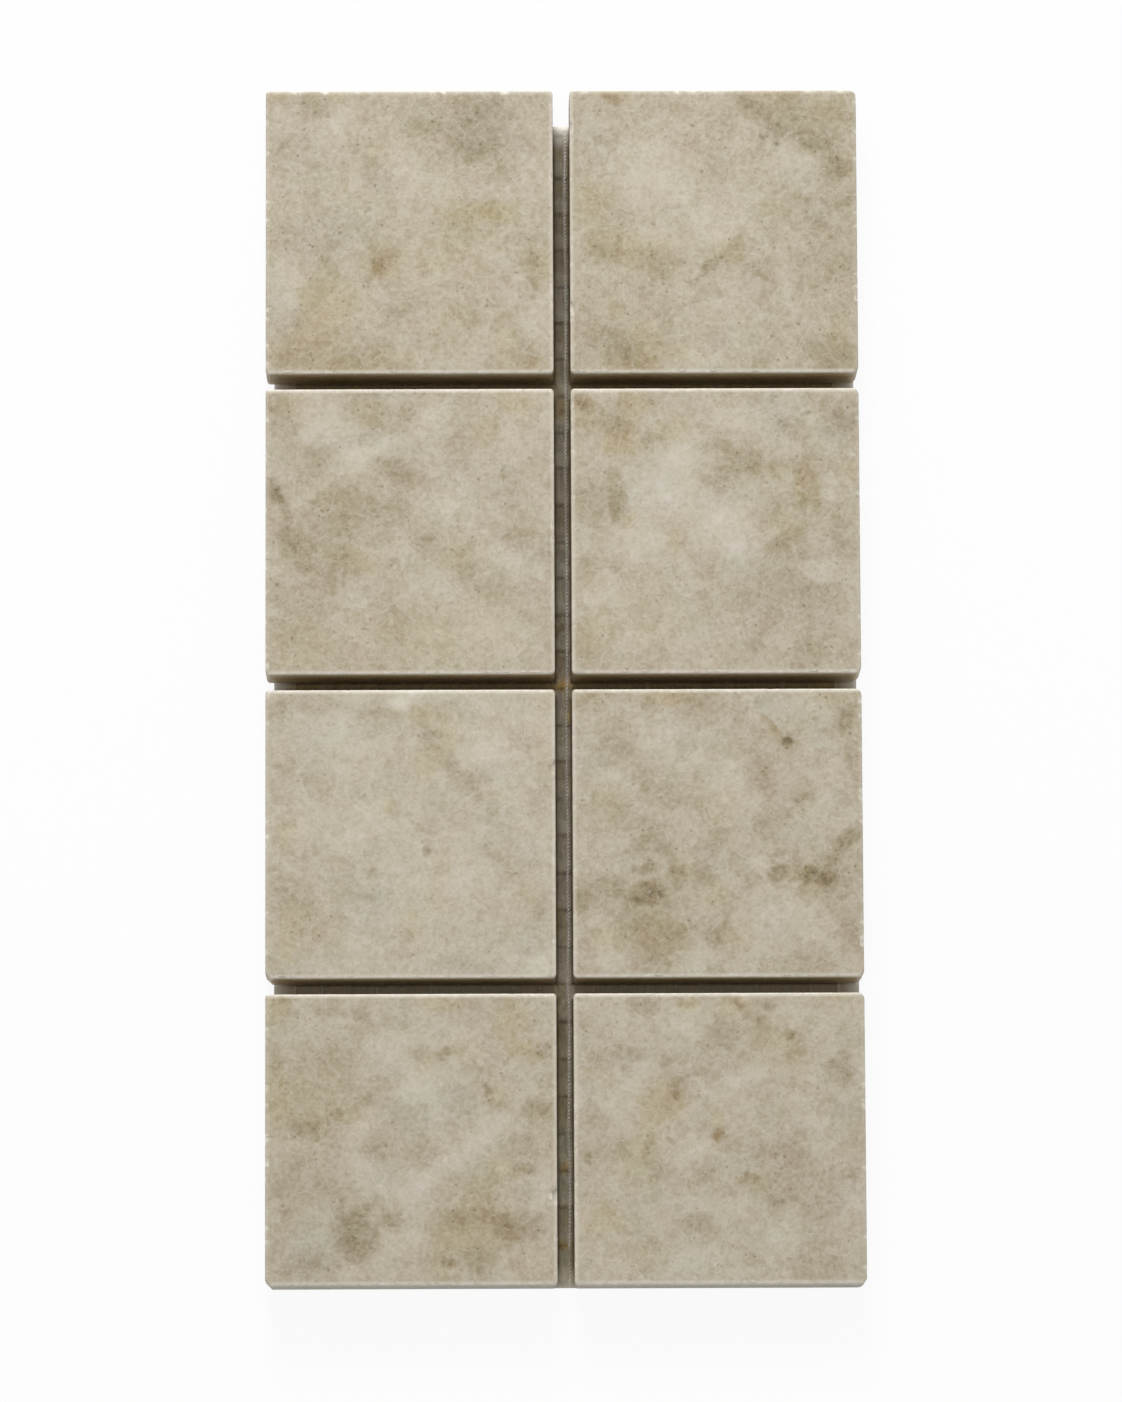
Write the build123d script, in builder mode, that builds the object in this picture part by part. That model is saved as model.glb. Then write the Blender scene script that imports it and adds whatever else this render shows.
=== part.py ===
"""A mesh-mounted mosaic sheet of quartzite tile.

Eight square tiles, sawn from quartzite, stand two across and four along on a
woven glass-yarn mesh that holds them at their joints until they are bedded and
grouted. The sheet lies face up. The origin is at the middle of its underside,
+Z points up, X runs across the two columns and +Y along the four rows.
"""

import os

from build123d import *

# Stone tile, in millimetres
TILE_WIDTH = 48.0  # across the sheet
TILE_LENGTH = 48.0  # along the sheet
TILE_THICKNESS = 10.0
CORNER_RADIUS = 0.5  # upright corners, rubbed round
EASED_EDGE = 0.4  # bevel rubbed onto the upper edges after sawing

# How the tiles are laid
ROWS = 4
JOINT_ACROSS = 2.8  # grout joint between the two columns
JOINT_ALONG = 2.6  # grout joint between one row and the next

# Backing mesh
WARP_PITCH = 4.5  # warp strands run along the sheet
WARP_WIDTH = 0.7
WARP_THICKNESS = 0.25
WEFT_PITCH = 6.2  # weft strands run across it, under the warps
WEFT_WIDTH = 0.8
WEFT_THICKNESS = 0.25

# How far the cut mesh stops short of the stone on each side
MESH_INSET_LEFT = 1.2
MESH_INSET_RIGHT = 0.4
MESH_INSET_FAR = 4.7
MESH_INSET_NEAR = 0.1

# Places worked out from the sizes above
COLUMNS = ("left", "right")
column_pitch = TILE_WIDTH + JOINT_ACROSS
row_pitch = TILE_LENGTH + JOINT_ALONG
sheet_width = len(COLUMNS) * column_pitch - JOINT_ACROSS
sheet_length = ROWS * row_pitch - JOINT_ALONG
mesh_thickness = WEFT_THICKNESS + WARP_THICKNESS

mesh_left = -sheet_width / 2 + MESH_INSET_LEFT
mesh_right = sheet_width / 2 - MESH_INSET_RIGHT
mesh_far = sheet_length / 2 - MESH_INSET_FAR
mesh_near = -sheet_length / 2 + MESH_INSET_NEAR
mesh_width = mesh_right - mesh_left
mesh_length = mesh_far - mesh_near
mesh_middle_x = (mesh_left + mesh_right) / 2
mesh_middle_y = (mesh_far + mesh_near) / 2

# An odd number of warps, so that one runs down the joint between the columns
warps_each_side = int((mesh_width - WARP_WIDTH) / 2 // WARP_PITCH)
warp_count = 2 * warps_each_side + 1
weft_count = int((mesh_length - WEFT_WIDTH) // WEFT_PITCH) + 1

# The mesh is two nodes, which meet halfway between two wefts
far_weft_count = weft_count // 2
near_weft_count = weft_count - far_weft_count
far_weft_y = mesh_middle_y + (weft_count - 1) / 2 * WEFT_PITCH
mesh_split = far_weft_y - (far_weft_count - 0.5) * WEFT_PITCH

os.makedirs("parts", exist_ok=True)

# Stone tiles, each sitting on the warp strands; row 1 is the far one
for row in range(ROWS):
    row_y = ((ROWS - 1) / 2 - row) * row_pitch
    for column, side in enumerate(COLUMNS):
        column_x = (column - (len(COLUMNS) - 1) / 2) * column_pitch
        with BuildPart() as tile:
            with BuildSketch(Plane.XY.offset(mesh_thickness)):
                with Locations((column_x, row_y)):
                    RectangleRounded(TILE_WIDTH, TILE_LENGTH, CORNER_RADIUS)
            extrude(amount=TILE_THICKNESS)
            show_face = tile.faces().sort_by(Axis.Z)[-1]
            chamfer(show_face.edges(), length=EASED_EDGE)
        tile.part.label = f"tile_row{row + 1}_{side}"
        export_step(tile.part, f"parts/{tile.part.label}.step")

# Backing mesh: flat wefts lie lowest, and the warps cross over and fuse to them
mesh_halves = (
    ("backing_mesh_far", mesh_far, mesh_split, far_weft_y, far_weft_count),
    (
        "backing_mesh_near",
        mesh_split,
        mesh_near,
        far_weft_y - far_weft_count * WEFT_PITCH,
        near_weft_count,
    ),
)
for label, far_end, near_end, first_weft_y, wefts in mesh_halves:
    weft_middle_y = first_weft_y - (wefts - 1) / 2 * WEFT_PITCH
    with BuildPart() as backing_mesh:
        with BuildSketch():
            with Locations((mesh_middle_x, weft_middle_y)):
                with GridLocations(0, WEFT_PITCH, 1, wefts):
                    Rectangle(mesh_width, WEFT_WIDTH)
        extrude(amount=WEFT_THICKNESS)
        with BuildSketch(Plane.XY.offset(WEFT_THICKNESS)):
            with Locations((mesh_middle_x, (far_end + near_end) / 2)):
                with GridLocations(WARP_PITCH, 0, warp_count, 1):
                    Rectangle(WARP_WIDTH, far_end - near_end)
        extrude(amount=WARP_THICKNESS)
    backing_mesh.part.label = label
    export_step(backing_mesh.part, f"parts/{label}.step")
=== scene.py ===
# %% [markdown]
# # A mosaic sheet of quartzite tile
#
# One sheet of mosaic is eight squares of quartzite, two across and four along. They are sawn,
# honed on the show face and glued by their backs to a woven glass-yarn mesh, which keeps the
# joints even until the sheet is bedded and grouted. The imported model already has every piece
# at its size and place, so nothing is measured twice here: this lesson gives the stone its worn
# edges and its clouds, weaves the mesh, and lays the film of glue that shows in the joints.

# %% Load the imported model
import math
import random

import bmesh
import bpy
import numpy as np
from mathutils import Matrix, Vector, noise


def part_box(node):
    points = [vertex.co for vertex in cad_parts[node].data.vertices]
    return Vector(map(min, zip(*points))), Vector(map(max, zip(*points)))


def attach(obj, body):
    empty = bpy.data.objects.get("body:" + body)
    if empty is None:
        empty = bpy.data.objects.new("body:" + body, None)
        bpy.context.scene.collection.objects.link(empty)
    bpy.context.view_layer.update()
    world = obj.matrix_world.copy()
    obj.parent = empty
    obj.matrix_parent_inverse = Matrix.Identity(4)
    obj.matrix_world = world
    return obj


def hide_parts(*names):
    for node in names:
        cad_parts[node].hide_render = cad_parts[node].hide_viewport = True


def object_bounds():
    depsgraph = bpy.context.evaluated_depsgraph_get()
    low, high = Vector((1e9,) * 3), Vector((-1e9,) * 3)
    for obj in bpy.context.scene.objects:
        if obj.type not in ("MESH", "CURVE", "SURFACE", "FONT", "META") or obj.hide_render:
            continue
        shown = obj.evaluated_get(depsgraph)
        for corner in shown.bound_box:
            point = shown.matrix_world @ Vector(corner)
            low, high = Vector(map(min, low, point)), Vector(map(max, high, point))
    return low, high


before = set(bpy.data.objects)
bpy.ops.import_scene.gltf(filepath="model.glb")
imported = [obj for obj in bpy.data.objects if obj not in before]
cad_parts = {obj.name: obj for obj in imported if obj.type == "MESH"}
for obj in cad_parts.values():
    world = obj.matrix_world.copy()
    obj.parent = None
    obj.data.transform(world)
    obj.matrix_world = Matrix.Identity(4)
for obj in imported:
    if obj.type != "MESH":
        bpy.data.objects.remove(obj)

CAD_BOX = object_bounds()
MM = 0.001
scene = bpy.context.scene
scene.view_settings.view_transform = "Standard"
print("CAD box in mm:", [[round(value / MM, 2) for value in corner] for corner in CAD_BOX])

# %% [markdown]
# ## The camera
#
# The sheet lies face up and is seen from almost straight above through a long lens, from a
# little past its near end, so that the near walls of the tiles just show in the joints. Such a
# camera could be set by eye, but a joint of under 3 mm shows every tenth of a degree. The place,
# the three small turns and the lens below were fitted to the corners of the show faces and to the
# feet of the near walls.

# %% Camera
CAMERA_PLACE = Vector((-12.86, -182.59, 1300.0)) * MM
CAMERA_TILT = math.radians(7.917)  # leans towards the far rows
CAMERA_PAN = math.radians(0.547)
CAMERA_ROLL = math.radians(0.180)
CAMERA_SENSOR = 36.0  # mm, along the picture's long side
CAMERA_LENS = 201.81  # mm

camera_data = bpy.data.cameras.new("camera")
camera_data.sensor_width = CAMERA_SENSOR
camera_data.lens = CAMERA_LENS
camera = bpy.data.objects.new("camera", camera_data)
camera.matrix_world = (
    Matrix.Translation(CAMERA_PLACE)
    @ Matrix.Rotation(CAMERA_TILT, 4, "X")
    @ Matrix.Rotation(-CAMERA_PAN, 4, "Y")
    @ Matrix.Rotation(-CAMERA_ROLL, 4, "Z")
)
scene.collection.objects.link(camera)
scene.camera = camera
print("camera stands", round(CAMERA_PLACE.z, 3), "m above the floor")

# %% [markdown]
# ## Small helpers for shader nodes
#
# A procedural finish is a long chain of nodes. Written out one socket at a time it would hide
# the recipe, so a few helpers are made first: one plugs a value or a link into a socket, and
# the others add one kind of node and hand back its output.

# %% Node helpers
def srgb(red, green, blue):
    """A colour as a picture shows it, 0 to 255, turned into the linear values that shaders use."""
    linear = [
        value / 12.92 if value <= 0.04045 else ((value + 0.055) / 1.055) ** 2.4
        for value in (red / 255, green / 255, blue / 255)
    ]
    return (*linear, 1.0)


def new_material(name):
    material = bpy.data.materials.new(name)
    material.use_nodes = True
    material.node_tree.nodes.clear()
    return material, material.node_tree


def plug(tree, socket, value):
    if isinstance(value, bpy.types.NodeSocket):
        tree.links.new(value, socket)
    else:
        socket.default_value = value


def calc(tree, operation, *values):
    node = tree.nodes.new("ShaderNodeMath")
    node.operation = operation
    for socket, value in zip(node.inputs, values):
        plug(tree, socket, value)
    return node.outputs[0]


def vector_calc(tree, operation, *values):
    node = tree.nodes.new("ShaderNodeVectorMath")
    node.operation = operation
    for socket, value in zip(node.inputs, values):
        plug(tree, socket, value)
    return node.outputs[0]


def mix(tree, how, amount, first, second):
    node = tree.nodes.new("ShaderNodeMix")
    node.data_type = "RGBA"
    node.blend_type = how
    plug(tree, node.inputs[0], amount)
    plug(tree, node.inputs[6], first)
    plug(tree, node.inputs[7], second)
    return node.outputs[2]


def fit(tree, value, from_low, from_high, to_low, to_high, easing="SMOOTHSTEP"):
    """Stretches a value from one range onto another, eased at both ends and clamped."""
    node = tree.nodes.new("ShaderNodeMapRange")
    node.interpolation_type = easing
    for socket, number in zip(node.inputs, (value, from_low, from_high, to_low, to_high)):
        plug(tree, socket, number)
    return node.outputs[0]


def ramp(tree, value, stops):
    """Runs a value from 0 to 1 through colours."""
    node = tree.nodes.new("ShaderNodeValToRGB")
    plug(tree, node.inputs[0], value)
    colours = node.color_ramp.elements
    while len(colours) < len(stops):
        colours.new(0.5)
    for element, (position, colour) in zip(colours, stops):
        element.position = position
        element.color = colour
    return node.outputs[0]


def fractal(tree, place, size, detail, roughness):
    """Cloudy noise whose largest lumps are about size long: its value, and its colour as a vector."""
    node = tree.nodes.new("ShaderNodeTexNoise")
    plug(tree, node.inputs["Vector"], place)
    node.inputs["Scale"].default_value = 1 / size
    node.inputs["Detail"].default_value = detail
    node.inputs["Roughness"].default_value = roughness
    return node.outputs[0], node.outputs[1]


def cells(tree, place, size, feature="F1"):
    """Voronoi cells about size across: the distance output and the cells' random colours."""
    node = tree.nodes.new("ShaderNodeTexVoronoi")
    node.feature = feature
    plug(tree, node.inputs["Vector"], place)
    node.inputs["Scale"].default_value = 1 / size
    return node.outputs["Distance"], node.outputs.get("Color")


def millimetres(tree, centre):
    """Object coordinates in millimetres, counted from centre, which is in metres."""
    coordinates = tree.nodes.new("ShaderNodeTexCoord")
    mapping = tree.nodes.new("ShaderNodeMapping")
    tree.links.new(coordinates.outputs["Object"], mapping.inputs["Vector"])
    mapping.inputs["Location"].default_value = -centre / MM
    mapping.inputs["Scale"].default_value = (1 / MM, 1 / MM, 1 / MM)
    return mapping.outputs[0]


def finish_surface(tree, colour, roughness, height, bump_depth):
    """A plain surface shader with colour, roughness and a bump of the given depth in metres."""
    bump = tree.nodes.new("ShaderNodeBump")
    bump.inputs["Distance"].default_value = bump_depth
    plug(tree, bump.inputs["Height"], height)
    surface = tree.nodes.new("ShaderNodeBsdfPrincipled")
    plug(tree, surface.inputs["Base Color"], colour)
    plug(tree, surface.inputs["Roughness"], roughness)
    tree.links.new(bump.outputs[0], surface.inputs["Normal"])
    output = tree.nodes.new("ShaderNodeOutputMaterial")
    tree.links.new(surface.outputs[0], output.inputs["Surface"])
    return surface


print("node helpers are ready")

# %% [markdown]
# ## Floor and light
#
# The sheet lies on a plain white floor. A white floor could be had with more light, but that
# would bleach the stone, so the floor's own shader does it: rays that come straight from the
# camera, or from a mirror-like surface, see mostly plain white, and a smaller share of ordinary
# diffuse keeps the sheet's soft shadow. All other rays see the diffuse floor.

# %% Floor
FLOOR_SIDE = 6.0  # metres
FLOOR_BELOW = 0.05 * MM  # keeps the floor clear of the yarn that lies on it
FLOOR_WHITE = 0.92  # share of plain white in what the camera sees
FLOOR_COLOUR = (0.84, 0.84, 0.84, 1.0)


def seen_directly(tree):
    """1 for camera, glossy and transmission rays, 0 for the rest."""
    path = tree.nodes.new("ShaderNodeLightPath")
    mirrored = calc(tree, "MAXIMUM", path.outputs["Is Glossy Ray"], path.outputs["Is Transmission Ray"])
    return calc(tree, "MAXIMUM", path.outputs["Is Camera Ray"], mirrored)


def made_mesh(bm, name):
    """Turns a finished bmesh into a mesh and frees it."""
    mesh = bpy.data.meshes.new(name)
    bm.to_mesh(mesh)
    bm.free()
    return mesh


floor_material, tree = new_material("floor_white")
floor_diffuse = tree.nodes.new("ShaderNodeBsdfDiffuse")
floor_diffuse.inputs["Color"].default_value = FLOOR_COLOUR
floor_glow = tree.nodes.new("ShaderNodeEmission")
floor_mix = tree.nodes.new("ShaderNodeMixShader")
plug(tree, floor_mix.inputs[0], calc(tree, "MULTIPLY", seen_directly(tree), FLOOR_WHITE))
tree.links.new(floor_diffuse.outputs[0], floor_mix.inputs[1])
tree.links.new(floor_glow.outputs[0], floor_mix.inputs[2])
floor_output = tree.nodes.new("ShaderNodeOutputMaterial")
tree.links.new(floor_mix.outputs[0], floor_output.inputs["Surface"])

bm = bmesh.new()
bmesh.ops.create_grid(bm, x_segments=1, y_segments=1, size=FLOOR_SIDE / 2)
bmesh.ops.translate(bm, vec=(0, 0, -FLOOR_BELOW), verts=bm.verts)
floor_mesh = made_mesh(bm, "floor")
floor_mesh.materials.append(floor_material)
floor = bpy.data.objects.new("floor", floor_mesh)
scene.collection.objects.link(floor)
print("floor is", FLOOR_SIDE, "m wide")

# %% [markdown]
# The light comes from the far end. The upper arrises of rows 2 to 4 are bright lines, the joints
# that run across are nearly black, and the joint that runs towards the light is only grey. One
# lamp about 40 degrees up does all three. A broad lamp would be softer, but most of its light
# would miss the floor of a joint that is under 3 mm wide, so this one is narrow, and stands a
# little to the left. A weak lamp at the near end and an even white surround lift the near walls.
# Together they light the show faces to a level where a colour comes out about as it is written.

# %% Lamps and surround
KEY_PLACE = Vector((-0.09, 0.92, 0.74))  # metres
KEY_WIDE = 0.35
KEY_TALL = 0.5
KEY_WATTS = 11.0
FILL_PLACE = Vector((-0.15, -1.1, 0.7))
FILL_SIDE = 0.7
FILL_WATTS = 1.0
SURROUND_LIGHT = 0.5
SHEET_MIDDLE = (CAD_BOX[0] + CAD_BOX[1]) / 2


def soft_lamp(name, place, wide, tall, watts):
    data = bpy.data.lights.new(name, "AREA")
    data.shape = "RECTANGLE"
    data.size = wide
    data.size_y = tall
    data.energy = watts
    lamp = bpy.data.objects.new(name, data)
    lamp.location = place
    lamp.rotation_euler = (SHEET_MIDDLE - place).to_track_quat("-Z", "Y").to_euler()
    lamp.visible_camera = False
    scene.collection.objects.link(lamp)


soft_lamp("key_lamp", KEY_PLACE, KEY_WIDE, KEY_TALL, KEY_WATTS)
soft_lamp("fill_lamp", FILL_PLACE, FILL_SIDE, FILL_SIDE, FILL_WATTS)

world = bpy.data.worlds.new("surround")
world.use_nodes = True
world.node_tree.nodes.clear()
tree = world.node_tree
surround = tree.nodes.new("ShaderNodeBackground")
surround.inputs["Strength"].default_value = SURROUND_LIGHT
backdrop = tree.nodes.new("ShaderNodeBackground")
surround_mix = tree.nodes.new("ShaderNodeMixShader")
plug(tree, surround_mix.inputs[0], seen_directly(tree))
tree.links.new(surround.outputs[0], surround_mix.inputs[1])
for background in (surround, backdrop):
    background.inputs["Color"].default_value = (1.0, 1.0, 1.0, 1.0)
tree.links.new(backdrop.outputs[0], surround_mix.inputs[2])
world_output = tree.nodes.new("ShaderNodeOutputWorld")
tree.links.new(surround_mix.outputs[0], world_output.inputs["Surface"])
scene.world = world
print("lamps:", KEY_WATTS, "W key,", FILL_WATTS, "W fill")

# %% [markdown]
# ## Sawing a tile
#
# Each tile is a square cut from a slab, and its edges are what tells stone from plastic: the
# arrises were rubbed by hand, so they are a little round, they wander, and grains have broken
# out of them. A bevel alone would be too even. Here a block is bevelled first and then cut into
# small squares, so that later steps can move points at the edges and paint points on the show
# face. The back, which nobody sees, stays one face.

# %% Saw a block
ARRIS_ROUND = 0.25 * MM
ROUND_STEPS = 3
CORNER_SHARP = (0.6 * MM, 4)  # radius and steps
WALL_CUTS = (0.7, 1.1, 1.8, 3.2, 6.0)  # mm below the show face
RIM_CUTS = (0.8, 1.6)  # mm in from each wall
CUTS_ALONG = 132
LONG_EDGE = 10 * MM
TINY = 0.002 * MM


def cut_through(bm, point, normal):
    geometry = bm.verts[:] + bm.edges[:] + bm.faces[:]
    bmesh.ops.bisect_plane(bm, geom=geometry, dist=TINY, plane_co=point, plane_no=normal)


def saw_block(low, high, corner_cuts):
    """A block with a round arris and four cut upright corners.

    The cuts are given in this order: left near, left far, right near, right far.
    """
    bm = bmesh.new()
    bmesh.ops.create_cube(bm, size=1.0)
    bmesh.ops.scale(bm, vec=high - low, verts=bm.verts)
    bmesh.ops.translate(bm, vec=(low + high) / 2, verts=bm.verts)
    corners = [Vector((x, y, (low.z + high.z) / 2)) for x in (low.x, high.x) for y in (low.y, high.y)]
    for corner, (radius, steps) in zip(corners, corner_cuts):
        upright = min(bm.edges, key=lambda e: ((e.verts[0].co + e.verts[1].co) / 2 - corner).length)
        bmesh.ops.bevel(bm, geom=[upright], offset=radius, offset_type="OFFSET",
                        segments=steps, profile=0.5, affect="EDGES", material=-1)
    arris = [e for e in bm.edges if min(v.co.z for v in e.verts) > high.z - TINY]
    bmesh.ops.bevel(bm, geom=arris, offset=ARRIS_ROUND, offset_type="OFFSET",
                    segments=ROUND_STEPS, profile=0.5, affect="EDGES", material=-1)
    for depth in WALL_CUTS:
        cut_through(bm, (0, 0, high.z - depth * MM), (0, 0, 1))
    for rim in RIM_CUTS:
        for x in (low.x + rim * MM, high.x - rim * MM):
            cut_through(bm, (x, 0, 0), (1, 0, 0))
        for y in (low.y + rim * MM, high.y - rim * MM):
            cut_through(bm, (0, y, 0), (0, 1, 0))
    back = [f for f in bm.faces if f.calc_center_median().z < low.z + TINY]
    bmesh.ops.delete(bm, geom=back, context="FACES")
    long_edges = [e for e in bm.edges if e.calc_length() > LONG_EDGE]
    bmesh.ops.subdivide_edges(bm, edges=long_edges, cuts=CUTS_ALONG, use_grid_fill=True)
    open_edges = [e for e in bm.edges if e.is_boundary]
    bmesh.ops.holes_fill(bm, edges=open_edges, sides=0)
    bmesh.ops.recalc_face_normals(bm, faces=bm.faces)
    return bm


trial = saw_block(*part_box("tile_row1_left"), 4 * [CORNER_SHARP])
print("one block:", len(trial.faces), "faces,", sum(e.is_boundary for e in trial.edges), "open edges")
trial.free()

# %% [markdown]
# The wear is done by moving points. Points near the arris go in by a few hundredths of a
# millimetre, as slow noise says, which makes the edge wander. A chip is a shell-shaped scoop: a
# ball, stretched along the edge, is set just outside the arris, and every point inside the ball
# is pushed out to its skin, which is always into the stone. Where the stone is rubbed or broken
# it is paler, so each point also stores how worn it is, for the finish to read. On the far
# arrises, which face the lamp, that number also holds a painted highlight.

# %% Wear the edges
WANDER_DEPTH = 0.05 * MM
WANDER_SIZES = (3.0 * MM, 0.7 * MM)
RUB_REACH = 0.6 * MM
CHIP_CROPS = ((44, 0.28, 0.44), (4, 0.44, 0.62))  # how many, radius from and to in mm
CHIP_RANGE = 23.5  # mm to each side of an edge's middle
CHIP_PUSH = 0.3  # of its radius, out from the arris
CHIP_STRETCH = 1.5  # along the edge
CHIP_PALENESS = 0.6
SIDE_NORMALS = {"left": (-1, 0), "right": (1, 0), "near": (0, -1), "far": (0, 1)}


def chip(points, low, high, side, along, radius):
    """Scoops one chip out of the points beside an upper edge, and says which points it moved."""
    outward = np.array((*SIDE_NORMALS[side], 0.0))
    middle = np.array((low + high) / 2)
    half = np.array((high - low) / 2)
    run = np.abs(outward[[1, 0, 2]])
    edge_point = middle + half * (outward + (0, 0, 1)) + run * along
    centre = edge_point + (outward + (0, 0, 1)) / math.sqrt(2) * radius * CHIP_PUSH
    stretch = 1 + run * (CHIP_STRETCH - 1)
    offset = (points - centre) / stretch
    reach = np.linalg.norm(offset, axis=1)
    inside = reach < radius
    points[inside] = centre + offset[inside] * (radius / reach[inside])[:, None] * stretch
    return inside


def wear_edges(bm, low, high, dice, side_rub_and_highlight, known_chips):
    """Rounds the arris unevenly, breaks chips out of it and stores the wear at each point, which on the
    far arrises is also a painted highlight.
    """
    points = np.array([vert.co for vert in bm.verts])
    to_sides = np.stack([points[:, 0] - low.x, high.x - points[:, 0],
                         points[:, 1] - low.y, high.y - points[:, 1]])
    nearest_side = to_sides.argmin(axis=0)
    inward = -np.array(list(SIDE_NORMALS.values()))[nearest_side]
    from_arris = np.hypot(to_sides.min(axis=0), high.z - points[:, 2])
    close = np.clip(1 - from_arris / RUB_REACH, 0, 1)
    wander = np.zeros(len(points))
    for index in np.flatnonzero(close):
        for size in WANDER_SIZES:
            wander[index] += 0.5 + 0.5 * noise.noise(Vector(points[index]) / size)
    inset = close * wander / len(WANDER_SIZES) * WANDER_DEPTH
    points += np.column_stack((inward * inset[:, None], -inset))
    # the side values are rubbing, and on the far sides a painted highlight as well
    rub_and_highlight = close * np.array(list(side_rub_and_highlight.values()))[nearest_side]
    broken = np.zeros(len(points))
    chips = [(side, along * MM, radius * MM) for side, along, radius in known_chips]
    for count, smallest, largest in CHIP_CROPS:
        for _ in range(count):
            side = dice.choice(list(SIDE_NORMALS))
            along = dice.uniform(-CHIP_RANGE, CHIP_RANGE) * MM
            chips.append((side, along, dice.uniform(smallest, largest) * MM))
    for side, along, radius in chips:
        broken[chip(points, low, high, side, along, radius)] = CHIP_PALENESS
    layer = bm.verts.layers.float.new("edge_wear_and_highlight")
    for vert, point, wear_and_highlight in zip(bm.verts, points, np.maximum(rub_and_highlight, broken)):
        vert.co = point
        vert[layer] = wear_and_highlight


print("a tile gets", sum(count for count, _, _ in CHIP_CROPS), "small chips")

# %% [markdown]
# ## What the stone looks like
#
# Quartzite of this kind is a warm grey with clouds: pale bodies of clean quartz, taupe ones with
# mica, a little tan and rust along old cracks, and a sugary grain. Noise alone gives clouds, but
# never the ones of these eight tiles, and a stone buyer would see it. So the larger clouds are
# placed as soft ellipses and noise bends their outlines until no ellipse is left.
#
# A mark is: x and y of its middle in millimetres from the tile's centre, half its length, half its
# width, turn of its length from the x axis in degrees, and strength. Marks are grouped by kind.

# %% Marks on row 1
MARKS = {}


def mark_count():
    return sum(len(group) for kinds in MARKS.values() for group in kinds.values())


MARKS["tile_row1_left"] = {
    "cloud": [(-16.5, 21, 2.6, 2, 0, 0.75), (7.5, 18, 8, 4.5, -25, 0.45), (12.5, 18.6, 5, 4.5, 0, 0.35),
        (11, 14, 3, 1.8, 0, 0.6), (12.5, 21.5, 3, 2.2, 0, 0.45), (1.5, 18.3, 1.6, 1.6, 0, 0.5),
        (5.5, 17, 3, 1.5, -20, 0.2),
        (-6, 10.5, 1.6, 2.2, 0, 0.55), (-9, 15, 1, 2, 0, 0.35), (15.8, 10.5, 2, 1.4, 0, 0.5),
        (-14, 11, 2, 1, 0, 0.3), (-13, -1, 6.5, 4, 0, 0.25), (20.6, -6, 1.3, 4.5, 0, 0.6),
        (19.8, -21.5, 2.2, 1.8, 0, 0.9), (1, -18, 1.3, 1.3, 0, 0.6), (-1, -14, 2.5, 2, 0, 0.4),
        (9.5, -14, 3.5, 2, 10, 0.4), (5.5, -19, 2, 2, 0, 0.35), (-8, -20.5, 4.5, 2, 0, 0.5),
        (-18.5, -20, 5, 4, 0, 0.45), (-22, 14, 1.5, 2, 0, 0.4)],
    "pale": [(-21, -10.5, 2.5, 4, 0, 0.6), (-3, 13, 5, 3, -45, 0.4), (6, -21.5, 4.5, 2, 0, 0.55),
        (21, -14, 2.5, 2.5, 0, 0.5), (-11, 18, 3, 3, 0, 0.4), (14.5, -4, 3, 3, 0, 0.4),
        (4, 9, 4, 3, -30, 0.35)],
    "rust": [(-5.2, -5.6, 1, 0.7, 45, 0.8), (-6.8, -7.6, 1.2, 0.6, 45, 0.45),
        (-4, -5, 2.2, 1.4, 30, 0.5), (20.6, -8.2, 1, 0.8, 0, 0.5)],
    "tan": [(-14, -13, 5, 5, 0, 0.55), (-18, -20, 6, 3, 0, 0.4), (-12, -23, 4, 1.5, 0, 0.5),
        (-4, -22, 5, 2, 0, 0.35), (-4.5, -5, 3, 2.2, 0, 0.45), (9.5, 3, 4, 1.6, 0, 0.4),
        (14.6, 3.8, 3, 1.9, 0, 0.6), (11, 2.5, 5, 1.8, 0, 0.3), (6, -4, 10, 5, 0, 0.2),
        (22, -5.5, 2.5, 3, 0, 0.4),
        (16, -19, 2, 4, 0, 0.3), (20, -22.5, 2, 1.5, 0, 0.5), (-21, 23, 3, 1, 0, 0.45),
        (-13, 23.5, 3, 0.8, 0, 0.4), (-5, 14, 2.5, 2, 0, 0.2), (7, -16, 4, 4, 0, 0.2)],
    "cool": [(12.5, 19, 4, 4.5, 0, 0.9), (9, 14.5, 3, 2, 0, 0.6), (18, 14.5, 2.5, 3, 0, 0.6),
        (3, 19, 3, 3, 0, 0.4), (-18, 15, 6, 6, 0, 0.45), (-5, 9, 3, 2, 0, 0.5), (-13, 0, 7, 4, 0, 0.6),
        (-22, -13, 3, 4, 0, 0.6), (16, -5.5, 1.3, 1.5, 0, 0.6)],
}
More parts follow.
